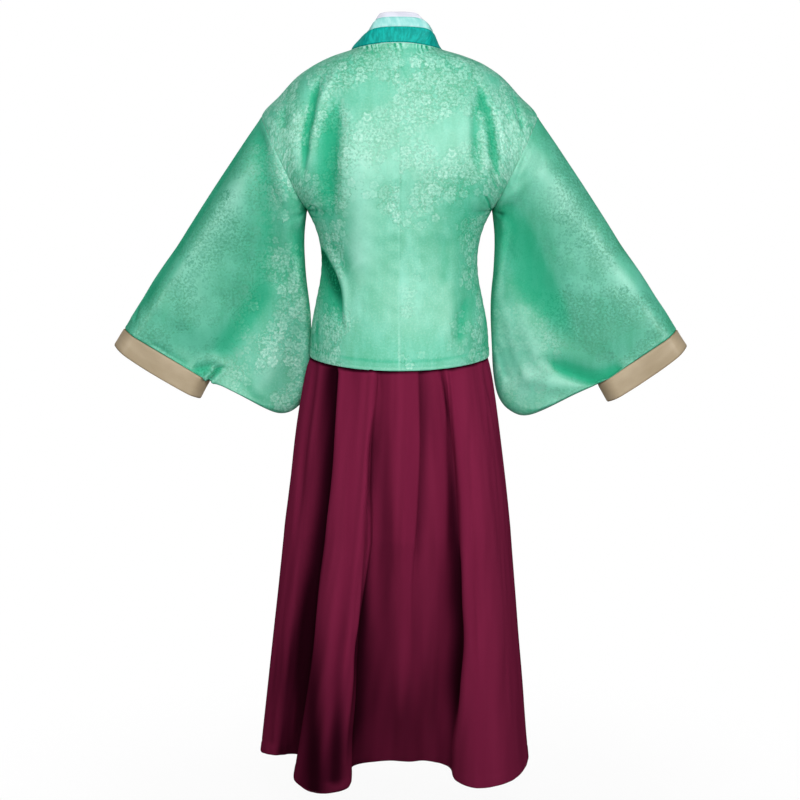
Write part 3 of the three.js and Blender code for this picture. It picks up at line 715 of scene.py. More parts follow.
backPanels = {
    "columns": 104, "upperRows": 96, "lowerRows": 92, "wall": 1.1, "flat": (0.28, 0.57), "area": 0.13,
    "held": "draped", "seed": 11, "patternShift": {"Left": (0, 0), "Right": (140, 60)},
}
frontPanels = {
    "columns": 62, "upperRows": 62, "lowerRows": 62, "wall": 1.1, "flat": (0.32, 0.56), "area": 0.13,
    "held": "draped", "seed": 23, "patternShift": {"Left": (700, 0), "Right": (700, 0)},
}


def hemTurn(fromHem, height=16, depth=0.55):
    # the doubled hem stands proud, with a stitched line at its top and a rolled lower edge
    doubled = depth * ease((height - fromHem) / 2.5 + 0.5)
    return doubled - 0.5 * beside(fromHem - height, 1.3) - 0.9 * beside(fromHem, 1.3)


def shapePanel(points, hand, creases, part, seed):
    # the panel's creases, gathers, sewn edges and hem, its cloth map and its painted shade and highlights
    normals = outwardNormals(points, hand)
    x, z = points[..., 0], points[..., 2]
    across, toEnd, down, toHem = measured(points)
    facing = normals[..., 1] ** 2
    pit = abs(pitX) * np.sign(x.mean())
    held = ease(toEnd / 16) * ease(down / 14)
    creased = creaseDepth(np.abs(x), z, creases) * held
    waves = 0.6 * swell(x, z, size=95, seed=seed) + 0.25 * swell(x, z, size=34, seed=seed + 1)
    turn = math.radians(160 if pit > 0 else 20)
    gathers = gatherFan(x, z, (pit, pitZ), reach=24, count=7, depth=2.4, turn=turn, sweep=1.9)
    gathers = gathers * ease(toEnd / 5)
    field = (creased + waves * held) * facing + gathers * facing
    field += seamFall(toEnd, depth=0, rise=0.2) + seamFall(down, depth=0.4, rise=0.3) + hemTurn(toHem)
    field += pucker(toEnd, down, pitch=17, depth=0.4, reach=11, seed=seed + 2)
    # a painted shade on the hem's stitched line, a painted highlight on its rolled edge and on the armhole's
    # upper seam, and a painted shade round the armpit
    paintedShadeAndHighlight = 3 * beside(toHem - 16, 1.5) - 5 * ease((5 - toHem) / 3)
    paintedShadeAndHighlight -= 3.5 * beside(toEnd - 1.2, 1.1) * ease((z + 225) / 40)
    paintedShadeAndHighlight += 6 * beside(np.hypot(x - pit, z - pitZ), 7)
    if part == "Back":
        field += seamFall(across, depth=0.08, rise=0.12)
        field += pucker(across, down, pitch=21, depth=0.15, reach=7, seed=seed + 3)
        ruffled = pucker(down, across, pitch=8.5, depth=0.6, reach=8, seed=seed + 4)
        ruffled = ruffled * ease((88 - np.abs(x)) / 12)  # under the collar
        field += ruffled
        # painted highlights along the middle seam and the top edge under the collar, and painted light and
        # shade on the puckers under the collar
        paintedShadeAndHighlight = paintedShadeAndHighlight - 1.6 * ease((2.6 - across) / 1.6) - 30 * ruffled - 5 * ease((2.6 - down) / 1.5)
        paintedShadeAndHighlight += 2 * ease((-430 - z) / 90) * ease((125 - np.abs(x)) / 60)  # painted shade under the small of the back
    shaped = points + normals * field[..., None]
    # how deep each place lies in painted shade, below 0 a painted highlight: from the creases, the gathers,
    # the marks above and the sides
    paintedShading = paintedShadingOf(creased + 2 * gathers - paintedShadeAndHighlight, deepest=8) + paintedSideShade(normals, deepest=0.35)
    return neckMoved(shaped), normals, np.stack([across, toHem], axis=2), paintedShading


for part, cut, creases, finish, hand in (
    ("Back", backPanels, backCreases, jadeBack, 1),
    ("Front", frontPanels, frontCreases, jadeFront, -1),
):
    for sideName, mirror in (("Left", 1), ("Right", -1)):
        lap = topCut["frontLap"] if mirror > 0 else 0
        grid = backGrid(cut) if part == "Back" else frontGrid(cut, lap)
        grid[..., 0] *= mirror
        half = sided(creases, mirror)
        shaped, normals, uv, paintedShading = shapePanel(grid, hand * mirror, half, part, cut["seed"])
        uv = uv * (mirror, 1) + cut["patternShift"][sideName]
        sew(f"top{part}{sideName}", f"top_{part}_{sideName}".lower(), finish, cut, shaped,
            normals, uv, paintedShading)
print("back and fronts ready")


# Sleeves and cuffs

sleeveCut = {
    "sections": [  # upper fold x z, lower fold x z, half depths arm and bag, their caps, shift
        (0, 235, -124, 159, -281, 72, 72, 88, 88, 0),
        (1, 261, -160, 164, -330, 66, 48, 78, 70, -6),
        (2, 287, -197, 163, -388, 59, 32, 68, 50, -14),
        (3, 313, -234, 157, -448, 54, 22, 60, 34, -24),
        (4, 339, -272, 154, -508, 50, 17, 54, 26, -34),
        (5, 365, -311, 154, -566, 47, 14, 50, 22, -42),
        (6, 388, -346, 164, -610, 45, 13, 47, 20, -46),
        (7, 412, -379, 186, -635, 43, 13, 45, 20, -47),
        (8, 432, -408, 214, -643, 41, 13, 42, 20, -46),
        (9, 450, -436, 246, -634, 38, 14, 39, 20, -44),
        (10, 469, -464, 292, -612, 34, 17, 35, 22, -40),
        (11, 488, -495, 340, -589, 29, 22, 30, 25, -36),
    ],
    "cuffEnd": (507, -524, 358, -621, 29, 23, 30, 25, -36),
    "cuffBow": 4,
    "bags": {"Left": (0, 0), "Right": (4, 12)},  # how much lower and further out the bag hangs
    "standOff": 0.2,
    "tuck": 1.3,
    "cuffStandOff": (1, -0.2),
    "pressedEdge": 0.85,
    "pressedFrom": 6,
    "mouthFrom": 7.5,
    "mouthMoved": {"Left": (-6.5, 6), "Right": (-2.5, 4)},
}


def sleeveRings(sections, turns, bag, armhole=None, bow=0, pressed=0):
    # sections is one row of nine values for each ring; turns run 0 to 20 round it, down the back first
    topX, topZ, lowX, lowZ, arm, bagDeep, armCap, bagCap, shift = [column[:, None] for column in sections.T]
    hang = ease((-400 - lowZ) / 180)
    lowX, lowZ = lowX + bag[1] * hang, lowZ - bag[0] * hang
    share = slowEnds(turns / 10)
    length = np.hypot(topX - lowX, topZ - lowZ)
    run = share * length
    armCap, bagCap = np.minimum(armCap, length / 2), np.minimum(bagCap, length / 2)
    plain = blend(arm, bagDeep, ease((run - armCap) / (0.55 * length)))
    upper = np.clip(1 - np.maximum(0, 1 - run / armCap) ** 2, 0, 1)
    lower = np.clip(1 - np.maximum(0, 1 - (length - run) / bagCap) ** 2, 0, 1)
    half = plain * (upper * lower) ** blend(0.5, sleeveCut["pressedEdge"], pressed)
    if armhole is not None:
        half = blend(topCut["armholeHalfDepth"] * np.abs(np.sin(math.pi * turns / 10)), half, armhole)
    outX, outZ = (topZ - lowZ) / length, (lowX - topX) / length
    bulge = 4 * bow * share * (1 - share)
    side = np.where(turns <= 10, 1, -1)
    x = blend(topX, lowX, share) + outX * bulge
    z = blend(topZ, lowZ, share) + outZ * bulge
    return np.stack([x, shift * blend(0.7, 1, share) + side * half, z], axis=2)


def sleeveMap(rings, across):
    # the bag laid flat: each ring keeps its middle and its slope, and the far half is turned over
    last = rings.shape[1] - 1
    middle, low = last // 4, last // 2
    centre = rings[:, middle : middle + 1, ::2]
    run = across - across[:, middle : middle + 1]
    flip = across[:, 3 * last // 4][:, None] - across
    run = np.where(np.arange(last + 1)[None] <= low, run, flip)
    return centre + unit(rings[:, low : low + 1, ::2] - rings[:, :1, ::2]) * run[..., None]


sleeveCreases = {
    "Left": [
        crease([(232, -124), (229, -196), (224, -270), (226, -340), (243, -415), (278, -474), (318, -522),
               (350, -552)], width=15, depth=4.2, soft=(1.6, 1.1), banks=(0.3, 0.4), fade=(0.08, 0.2)),
        crease([(166, -286), (176, -341), (192, -385), (218, -424)], width=13, depth=3, banks=(0.3, 0.2)),
        crease([(184, -296), (174, -350), (170, -410), (172, -470)], width=12, depth=2.4, banks=(0, 0),
               fade=(0.2, 0.4)),
        crease([(196, -350), (212, -402), (236, -446), (268, -492), (300, -532), (322, -556)], width=18,
               depth=4.2, soft=(1.2, 1.5), banks=(0.1, 0.4), fade=(0.4, 0.25)),
        crease([(250, -140), (300, -215), (360, -305), (420, -395), (462, -458)], width=15, depth=4,
               banks=(0, 0.4), fade=(0.2, 0.15)),
        crease([(340, -588), (328, -571), (316, -561), (298, -555)], width=3.4, depth=6, banks=(0.3, 0.8),
               fade=(0.04, 0.4)),
        crease([(366, -562), (337, -559), (308, -556)], width=7, depth=5, soft=(1.5, 1)),
        crease([(440, -512), (401, -539), (359, -568)], width=7, depth=2.6),
        crease([(462, -478), (460, -462), (456, -448)], width=4, depth=2.4),
        crease([(240, -200), (290, -280), (350, -400), (380, -500)], width=34, depth=-3, banks=(0, 0)),
        crease([(214, -520), (236, -580), (262, -612)], width=18, depth=-3, banks=(0, 0)),
    ],
    "Right": [
        crease([(217, -146), (207, -188), (190, -245)], width=6, depth=2.6, banks=(0, 0), fade=(0.08, 0.5)),
        crease([(172, -420), (203, -530), (226, -585)], width=9, depth=-2),
        crease([(165, -500), (180, -550), (192, -585)], width=5, depth=1.6, fade=(0.3, 0.2)),
        crease([(206, -590), (236, -578), (280, -590), (330, -590)], width=16, depth=-3.8, banks=(0, 0),
               fade=(0.3, 0.4)),
        crease([(232, -150), (262, -240), (310, -330)], width=26, depth=-3, banks=(0, 0), fade=(0.3, 0.5)),
        crease([(164, -272), (188, -294), (216, -337), (238, -390), (266, -440), (300, -500), (330, -556)],
               width=25, depth=7, soft=(1.1, 2), banks=(0.35, 0.1), fade=(0.12, 0.45)),
        crease([(236, -538), (276, -558), (314, -572), (352, -578), (400, -560)], width=8, depth=8.5,
               soft=(2.1, 1), banks=(0, 0.05), fade=(0.35, 0.12)),
        crease([(186, -340), (197, -358), (212, -377)], width=2.4, depth=1.5),
        crease([(190, -330), (202, -350), (214, -366)], width=2.4, depth=1.1),
        crease([(190, -232), (201, -196), (217, -168)], width=4, depth=-2.4, banks=(-0.3, -0.3)),
        crease([(204, -438), (229, -510), (268, -576)], width=18, depth=-4, banks=(0, 0)),
        crease([(262, -210), (310, -290), (372, -400), (410, -490)], width=30, depth=-3, banks=(0, 0)),
    ],
}
hiddenSleeveCreases = [
    crease([(234, -130), (236, -210), (248, -300)], width=10, depth=6),
    crease([(172, -296), (230, -380), (296, -480)], width=16, depth=8, soft=(1, 1.6)),
    crease([(230, -536), (290, -560), (345, -574)], width=9, depth=6, soft=(1.6, 1)),
    crease([(250, -200), (320, -300), (380, -420)], width=30, depth=-3, banks=(0, 0)),
]
sleeves = {
    "turns": 168, "rows": 164, "wall": 1.1, "flat": (0.62, 0.62), "area": 0.27, "held": "hung",
    "patternShift": (1500, 900), "seeds": {"Left": 40, "Right": 60},
}
cuffs = {"turns": 120, "rows": 16, "wall": 1.5, "flat": (0.37, 0.042), "area": 0.0135, "held": "stretched"}
sleeveTable = np.array(sleeveCut["sections"], float)
lastSection = len(sleeveTable) - 1

for sideName, mirror in (("Left", 1), ("Right", -1)):
    sleeveNode, cuffNode = f"sleeve_{sideName.lower()}", f"cuff_{sideName.lower()}"
    bag, (mouthOut, mouthUp) = sleeveCut["bags"][sideName], sleeveCut["mouthMoved"][sideName]
    mouthMoved = np.array([mouthOut, 0, mouthUp])
    seed = sleeves["seeds"][sideName]
    k = spaced(sleeves["rows"], "start", "end") * lastSection  # down the table of sections
    sections = np.stack([fromTable(sleeveTable, k, column) for column in range(1, 10)], axis=1)
    turns = np.linspace(0, 20, sleeves["turns"] + 1)[None]
    pressed, moved = (
        ease((k - sleeveCut[since]) / (lastSection - sleeveCut[since]))[:, None]
        for since in ("pressedFrom", "mouthFrom")
    )
    rings = sleeveRings(sections, turns, bag, armhole=np.minimum(1, k)[:, None], pressed=pressed)
    rings += moved[..., None] * mouthMoved
    normals = outwardNormals(rings, -1, closed=True)
    x, z = rings[..., 0], rings[..., 2]
    across, _, down, toCuff = measured(rings)
    onBack, onFront = ease(normals[..., 1] * 2.2), ease(-normals[..., 1] * 2.2)
    flat = onBack + onFront
    held = ease(down / 18) * ease(toCuff / 10)
    creased = creaseDepth(x, z, sleeveCreases[sideName]) * onBack
    creased = (creased + creaseDepth(x, z, hiddenSleeveCreases) * onFront) * held
    waves = (0.8 * swell(x, z, size=110, seed=seed) + 0.3 * swell(x, z, size=38, seed=seed + 1)) * flat
    fan = gatherFan(x, z, (pitX, pitZ), reach=26, count=7, depth=2.4, turn=math.radians(-60), sweep=1.8)
    fan = fan * ease(down / 6) * flat
    field = creased + waves * held + fan
    field += seamFall(down, depth=0.5, rise=0.35) + seamFall(toCuff, depth=0.8)
    field += pucker(down, across, pitch=17, depth=0.4, reach=10, seed=seed + 2)
    field += pucker(toCuff, across, pitch=13, depth=0.3, reach=8, seed=seed + 3)
    shaped = rings + normals * field[..., None]
    shaped -= unit(rings[8:9] - rings[:1]) * (sleeveCut["tuck"] * np.exp(-down / 1.2))[..., None]
    shaped[..., 0] = (shaped[..., 0] + sleeveCut["standOff"]) * mirror
    uv = sleeveMap(rings, across) * (mirror, 1) + sleeves["patternShift"]
    # painted shade at the cuff seam and round the armpit, and with the creases, gathers and sides, how deep
    # each place lies in painted shade
    paintedShadeAndHighlight = 4 * ease((2.5 - toCuff) / 1.5) + 6 * beside(np.hypot(x - pitX, z - pitZ), 7)
    paintedShading = paintedShadingOf(creased + 2 * fan - paintedShadeAndHighlight, deepest=8) + paintedSideShade(normals, deepest=0.65)
    sew(f"sleeve{sideName}", sleeveNode, jadeSleeves[sideName], sleeves, shaped,
        normals * (mirror, 1, 1), uv, paintedShading, closed=True)

    turns = np.linspace(0, 20, cuffs["turns"] + 1)[None]
    t = spaced(cuffs["rows"], "start", "end")[:, None]
    sections = blend(sleeveTable[-1, 1:], np.array(sleeveCut["cuffEnd"], float), t)
    rings = sleeveRings(sections, turns, bag, bow=sleeveCut["cuffBow"] * t, pressed=1) + mouthMoved
    normals = outwardNormals(rings, -1, closed=True)
    across, _, down, toEnd = measured(rings)
    field = seamFall(down, depth=0.7, rise=0.15)
    field += 0.35 * swell(across, down, size=60, seed=seed + 5) * ease(down / 8)
    field += pucker(down, across, pitch=13, depth=0.25, reach=7, seed=seed + 4) - 0.9 * beside(toEnd, 1.4)
    shaped = rings + normals * field[..., None]
    shaped[..., 0] = (shaped[..., 0] + sleeveCut["cuffStandOff"][0]) * mirror
    shaped[..., 2] += sleeveCut["cuffStandOff"][1]
    uv = np.stack([across, toEnd], axis=2)
    # painted shade along the cuff's two edges and on its sides
    paintedShading = 0.7 * beside(toEnd - 0.8, 1.3) + 0.6 * beside(down, 1.6) + paintedSideShade(normals, deepest=0.8)
    sew(f"cuff{sideName}", cuffNode, satins["cuffSatin"], cuffs, shaped,
        normals * (mirror, 1, 1), uv, paintedShading, closed=True)
print("sleeves and cuffs ready")


# Collar: three bands from the neck seam, each folded at its upper edge

collarCut = {
    "width": 53,
    "napeReach": (0, -0.2, 0.98),
    "neckSideReach": (-0.69, 0, 0.72),
    "turn": 2.2,
    "layDownRows": 4,
    "narrowFrom": 6,
    "narrowRows": 4,
    "tuckedRows": 9,
    "layerStep": 2.6,
    "standOff": 0.3,
    "hiddenRows": 3,
    "hiddenWidth": 25,
    "wall": 1.1,
    "held": "folded",
}
collarBands = [
    {"name": "collarOuter", "node": "collar_outer", "slot": "collar_teal", "finish": "tealSatin",
     "layer": 0, "from": 0, "to": 27, "first": 0, "flat": (1.05, 0.029), "area": 0.028},
    {"name": "collarMiddle", "node": "collar_middle", "slot": "collar_aqua", "finish": "aquaSatin",
     "layer": 1, "from": 16, "to": 44, "first": 7, "flat": (0.85, 0.029), "area": 0.0225},
    {"name": "collarInner", "node": "collar_inner", "slot": "collar_white", "finish": "whiteSatin",
     "layer": 2, "from": 38, "to": 53, "first": 7, "flat": (0.85, 0.016), "area": 0.0115},
]


def frontStations(lap, sideways):
    # the front edge, row by row from the shoulder, and the way the collar lies from it
    upper = blend(topCut["neckSideZ"], pitZ, slowEnds(np.arange(10) / 10))
    z = np.concatenate([upper, blend(pitZ, topCut["hemSideZ"], np.arange(8) / 7)])
    base = np.stack([edgeX(z), -depthAt(edgeX(z), z, "front", lap), z], axis=1)
    base[:, 0] *= sideways
    standing = np.array(collarCut["neckSideReach"]) * (sideways, 1, 1)
    found = []
    for row, start in enumerate(base):
        near, far = base[max(row - 1, 0)], base[min(row + 1, len(base) - 1)]
        run = math.hypot(far[0] - near[0], far[2] - near[2])
        acrossX, acrossZ = sideways * (near[2] - far[2]) / -run, abs(far[0] - near[0]) / run
        narrowed = ease((row - collarCut["narrowFrom"]) / collarCut["narrowRows"])
        width = blend(collarCut["width"], collarBands[0]["to"], narrowed)
        endX, endZ = start[0] + width * acrossX, start[2] + width * acrossZ
        end = np.array([endX, -float(depthAt(np.array(endX), np.array(endZ), "front", lap)), endZ])
        reach = blend(standing, unit(end - start), ease(row / collarCut["layDownRows"]))
        found.append((start, unit(reach)))
    return found


def collarStations():
    # the left front from its hem up, round the nape and down the tucked right front
    stations = frontStations(topCut["frontLap"], 1)[:0:-1]
    atNape, atSide = np.array(collarCut["napeReach"]), np.array(collarCut["neckSideReach"])
    for c in range(4, -5, -1):
        share = abs(c) / 4
        x, z = napeLine(share)
        base = np.array([x, float(depthAt(np.array(x), np.array(z), "back")), z])
        reach = unit(blend(atNape, atSide, share ** collarCut["turn"]))
        side = np.array([1 if c >= 0 else -1, 1, 1])
        stations.append((base * side, reach * side))
    stations += frontStations(0, -1)[1 : collarCut["tuckedRows"] + 1]
    bases, reaches = (np.array(part) for part in zip(*stations))
    middle = bases + reaches * collarCut["width"] / 2
    row, last = np.arange(len(middle)), len(middle) - 1
    along = middle[np.minimum(row + 1, last)] - middle[np.maximum(row - 1, 0)]
    return bases, reaches, unit(np.cross(reaches, along))


bases, reaches, inwards = collarStations()
for band in collarBands:
    first, layer = band["first"], band["layer"]
    count = (len(bases) - first - 1) * 8 + 1
    base = throughPoints(bases[first:], count)
    reach, inward = unit(throughPoints(reaches[first:], count)), unit(throughPoints(inwards[first:], count))
    station = np.linspace(first, len(bases) - 1, count)
    hidden = ease((first + collarCut["hiddenRows"] - station) / collarCut["hiddenRows"]) * (first > 0)
    share = spaced(12, "start", "end")
    width = blend(band["from"], band["to"], share)[None]
    width = blend(width, np.minimum(width, collarCut["hiddenWidth"]), hidden[:, None])
    points = base[:, None] + reach[:, None] * width[..., None]
    points += inward[:, None] * layer * collarCut["layerStep"]
    across, toTop, down, _ = measured(points)
    crown = 0.7 * (1 - (2 * share - 1) ** 2)[None] - 0.9 * beside(toTop, 1.2)
    crown = crown - 0.7 * beside(across, 1.2) * (layer == 0)
    uneven = 0.35 * swell(down, across, size=42, seed=80 + layer) * ease(toTop / 6)
    points = neckMoved(points - inward[:, None] * (crown + uneven)[..., None])
    points[..., 2] += collarCut["standOff"]
    normals = np.broadcast_to(-inward[:, None], points.shape)
    uv = np.stack([down, across], axis=2)
    # painted shade along each band's seam edge, and along the upper edge of the outer and middle bands
    paintedShading = 0.9 * beside(across, 1.7) + 0.8 * beside(toTop, 1.5) * (layer < 2)
    sew(band["name"], band["node"], satins[band["finish"]], {**collarCut, **band}, points,
        normals, uv, paintedShading)
print("collar ready")


# Skirt: soft pleats from the waistband, each fold on its own line

skirtCut = {
    "waistInset": 9.5,
    "tuckUnder": 7,
    "heights": {"waist": -389.4, "pleat": -530, "knee": -840, "hem": -1253},
    "flare": 0.72,
    "rightSeamFold": 15,
    "folds": [  # pleat x y, knee x y, hem x y, round from the left seam over the back
        (150, 0, 203, 0, 250, 8), (143, 38, 187, 50, 222, 26), (110, 75, 136, 84, 184, 22),
        (101, 86, 121, 122, 181, 150), (72, 103, 92, 142, 136, 205), (42, 113, 52, 140, 89, 184),
        (34, 107, 45, 114, 80, 78), (2, 113, 6, 124, 24, 52), (-22, 113, -20, 124, -14, 58),
        (-38, 108, -40, 114, -46, 52), (-75, 96, -101, 98, -82, 78), (-83, 97, -109, 122, -98, 150),
        (-108, 82, -130, 130, -132, 182), (-133, 55, -166, 92, -184, 158), (-147, 26, -186, 46, -220, 92),
        (-150, 0, -196, 0, -230, 8), (-142, -33, -184, -46, -216, -58), (-114, -68, -142, -78, -166, -84),
        (-92, -85, -118, -112, -142, -142), (-62, -98, -72, -127, -86, -160),
        (-40, -98, -46, -112, -50, -116), (-8, -106, -8, -132, -4, -162), (30, -101, 34, -117, 42, -122),
        (60, -98, 74, -129, 94, -163), (92, -80, 112, -98, 140, -104), (122, -63, 152, -92, 186, -120),
        (142, -33, 188, -46, 230, -50),
    ],
}
skirtPanels = {
    "stepsPerFold": 13, "rows": 190, "gatheredRows": 30, "wall": 1.1, "held": "gathered",
    "back": {"flat": (0.9, 0.87), "area": 0.5, "seed": 100, "patternShift": 0},
    "front": {"flat": (0.8, 0.87), "area": 0.45, "seed": 120, "patternShift": 2000},
}
waistband = {"steps": 120, "rows": 12, "wall": 1.3, "flat": (0.78, 0.037), "area": 0.027, "held": "gathered"}
skirtCreases = [
    crease([(148, -880), (156, -1020), (156, -1150), (152, -1253)], width=24, depth=5, banks=(0, 0.3),
           fade=(0.35, 0.01)),
    crease([(186, -860), (205, -1000), (222, -1150), (232, -1240)], width=10, depth=3, banks=(0.2, 0.2),
           fade=(0.3, 0.08)),
    crease([(144, -536), (152, -605), (163, -684), (171, -779), (184, -860)], width=6, depth=4.5,
           banks=(0.6, 0.2), fade=(0.04, 0.4)),
    crease([(108, -540), (111, -598), (116, -666), (120, -718), (125, -770), (133, -825), (143, -899),
           (151, -955), (163, -1050), (175, -1127), (185, -1205)], width=7, depth=6.5, soft=(2.4, 0.7),
           banks=(0.1, 0.3), fade=(0.03, 0.35)),
    crease([(84, -860), (94, -980), (101, -1100), (106, -1240)], width=15, depth=5, banks=(0, 0),
           fade=(0.4, 0.02)),
    crease([(142, -640), (151, -776), (171, -885), (191, -997), (207, -1130)], width=12, depth=-4,
           banks=(0, 0)),
    crease([(43, -540), (48, -594), (53, -644), (56, -695), (61, -745), (67, -795), (73, -863), (82, -963),
           (89, -1030), (94, -1080), (100, -1148)], width=7, depth=-5, banks=(0, 0), fade=(0.04, 0.3)),
    crease([(37, -560), (46, -644), (50, -695), (51, -745), (55, -796), (57, -864), (63, -965), (69, -1016),
           (72, -1068), (79, -1150)], width=4, depth=6, soft=(0.8, 1.8), banks=(0.2, 0.2), fade=(0.2, 0.2)),
    crease([(55, -860), (63, -965), (69, -1016), (72, -1068), (79, -1150), (86, -1230)], width=9, depth=5,
           soft=(0.7, 1.8), banks=(0, 0.1), fade=(0.4, 0.2)),
    crease([(36, -590), (31, -698), (25, -801), (20, -908), (18, -1060)], width=12, depth=2.4,
           soft=(1, 1.4), fade=(0.25, 0.3)),
    crease([(-9, -700), (-9, -799), (-8, -870), (-6, -981), (-1, -1094), (3, -1180)], width=13, depth=-5,
           banks=(0, 0)),
    crease([(-36, -540), (-38, -664), (-35, -766), (-30, -835), (-23, -907), (-22, -1060)], width=5,
           depth=3.6, soft=(0.6, 2.6), banks=(0.3, 0.1), fade=(0.03, 0.5)),
    crease([(-72, -546), (-80, -598), (-87, -666), (-91, -735), (-95, -805), (-99, -876), (-100, -944),
           (-102, -1010), (-97, -1084), (-93, -1158), (-88, -1216)], width=8, depth=10.5, soft=(1.6, 0.8),
           banks=(0.1, 0.4), fade=(0.55, 0.2)),
    crease([(-66, -536), (-74, -570), (-84, -640), (-91, -735)], width=3, depth=6, soft=(0.7, 1.2),
           banks=(0.3, 0.5), fade=(0.05, 0.5)),
    crease([(-119, -590), (-123, -731), (-126, -866), (-133, -968), (-137, -1090)], width=8, depth=4.5,
           fade=(0.2, 0.3)),
    crease([(-142, -560), (-155, -805), (-165, -941), (-167, -1042), (-158, -1160)], width=16, depth=-4,
           banks=(0, 0), fade=(0.2, 0.3)),
    crease([(-146, -536), (-152, -580), (-160, -615), (-166, -668)], width=4, depth=3.5, fade=(0.04, 0.4)),
]
hiddenSkirtCreases = [
    crease([(-120, -540), (-128, -660), (-134, -800), (-146, -980), (-166, -1160)], width=8, depth=9,
           soft=(0.9, 1.7), fade=(0.05, 0.3)),
    crease([(-50, -540), (-56, -680), (-60, -820), (-64, -1000), (-66, -1170)], width=8, depth=8,
           soft=(1.6, 0.9), fade=(0.05, 0.3)),
    crease([(10, -540), (12, -680), (14, -840), (18, -1020), (20, -1180)], width=9, depth=8,
           soft=(0.9, 1.7), fade=(0.05, 0.3)),
    crease([(76, -540), (84, -660), (92, -800), (106, -980), (122, -1160)], width=8, depth=9,
           soft=(1.7, 0.9), fade=(0.05, 0.3)),
    crease([(128, -560), (136, -700), (150, -860), (168, -1040)], width=8, depth=6, fade=(0.1, 0.3)),
]


def waistPoint(x, y, z):
    # on the top's form, in by the waist's room
    angle = np.arctan2(np.abs(y), np.abs(x))
    half = halfWidthAt(z) - skirtCut["waistInset"]
    deep = np.where(y >= 0, fromTable(topCut["depths"], z, 1), fromTable(topCut["depths"], z, 2))
    deep = deep - skirtCut["waistInset"]
    px = half * np.cos(angle) ** (2 / topCut["power"])
    py = deep * np.sqrt(np.clip(1 - (px / half) ** topCut["power"], 0, 1))
    return np.stack([np.sign(x) * px, np.sign(y) * py, z + 0 * px], axis=-1)


def foldLines(levels):
    # every fold's line at each level: 0 the waist, 1 the pleats' top, 2 the knee, 3 the hem
    folds, heights = np.array(skirtCut["folds"], float), skirtCut["heights"]
    pleat, knee, hem = folds[:, 0:2], folds[:, 2:4], folds[:, 4:6]
    waist = waistPoint(pleat[:, 0], pleat[:, 1], np.array(heights["waist"]))[:, :2]
    lines = []
    for level in levels:
        if level <= 1:
            flat, z = blend(waist, pleat, level), blend(heights["waist"], heights["pleat"], level)
            flat = flat - unit(flat) * skirtCut["tuckUnder"] * math.sin(math.pi * level) ** 2
        elif level <= 2:
            flat = blend(pleat, knee, (level - 1) ** skirtCut["flare"])
            z = blend(heights["pleat"], heights["knee"], level - 1)
        else:
            flat, z = blend(knee, hem, level - 2), blend(heights["knee"], heights["hem"], level - 2)
        lines.append(np.concatenate([flat, np.full((len(flat), 1), z)], axis=1))
    return np.array(lines)


def closedCurve(points, steps):
    # smooth closed curves through the folds, spaced by the root of their distances
    def far(a, b):
        return np.maximum(np.linalg.norm(a - b, axis=2, keepdims=True) ** 0.5, 1e-4)
    p0, p2, p3 = np.roll(points, 1, 1), np.roll(points, -1, 1), np.roll(points, -2, 1)
    d0, d1, d2 = far(p0, points), far(points, p2), far(p2, p3)
    t1 = ((points - p0) / d0 - (p2 - p0) / (d0 + d1) + (p2 - points) / d1) * d1
    t2 = ((p2 - points) / d1 - (p3 - points) / (d1 + d2) + (p3 - p2) / d2) * d1
    found = []
    for t in np.arange(steps) / steps:
        curve = points + t1 * t + (3 * (p2 - points) - 2 * t1 - t2) * t**2
        found.append(curve + (2 * (points - p2) + t1 + t2) * t**3)
    return np.stack(found, axis=2).reshape(len(points), -1, 3)


def pleatDepth(points):
    # how far each place stands out past the mean of the pleats beside it, halved; it feeds the painted shade
    # between the pleats
    far = np.linalg.norm(points[..., :2], axis=2)
    reach = 2 * skirtPanels["stepsPerFold"]
    wide = np.pad(far, ((0, 0), (reach, reach)), mode="reflect")
    sums = np.cumsum(np.pad(wide, ((0, 0), (1, 0))), axis=1)
    mean = (sums[:, 2 * reach + 1 :] - sums[:, : -2 * reach - 1]) / (2 * reach + 1)
    return (far - mean) / 2


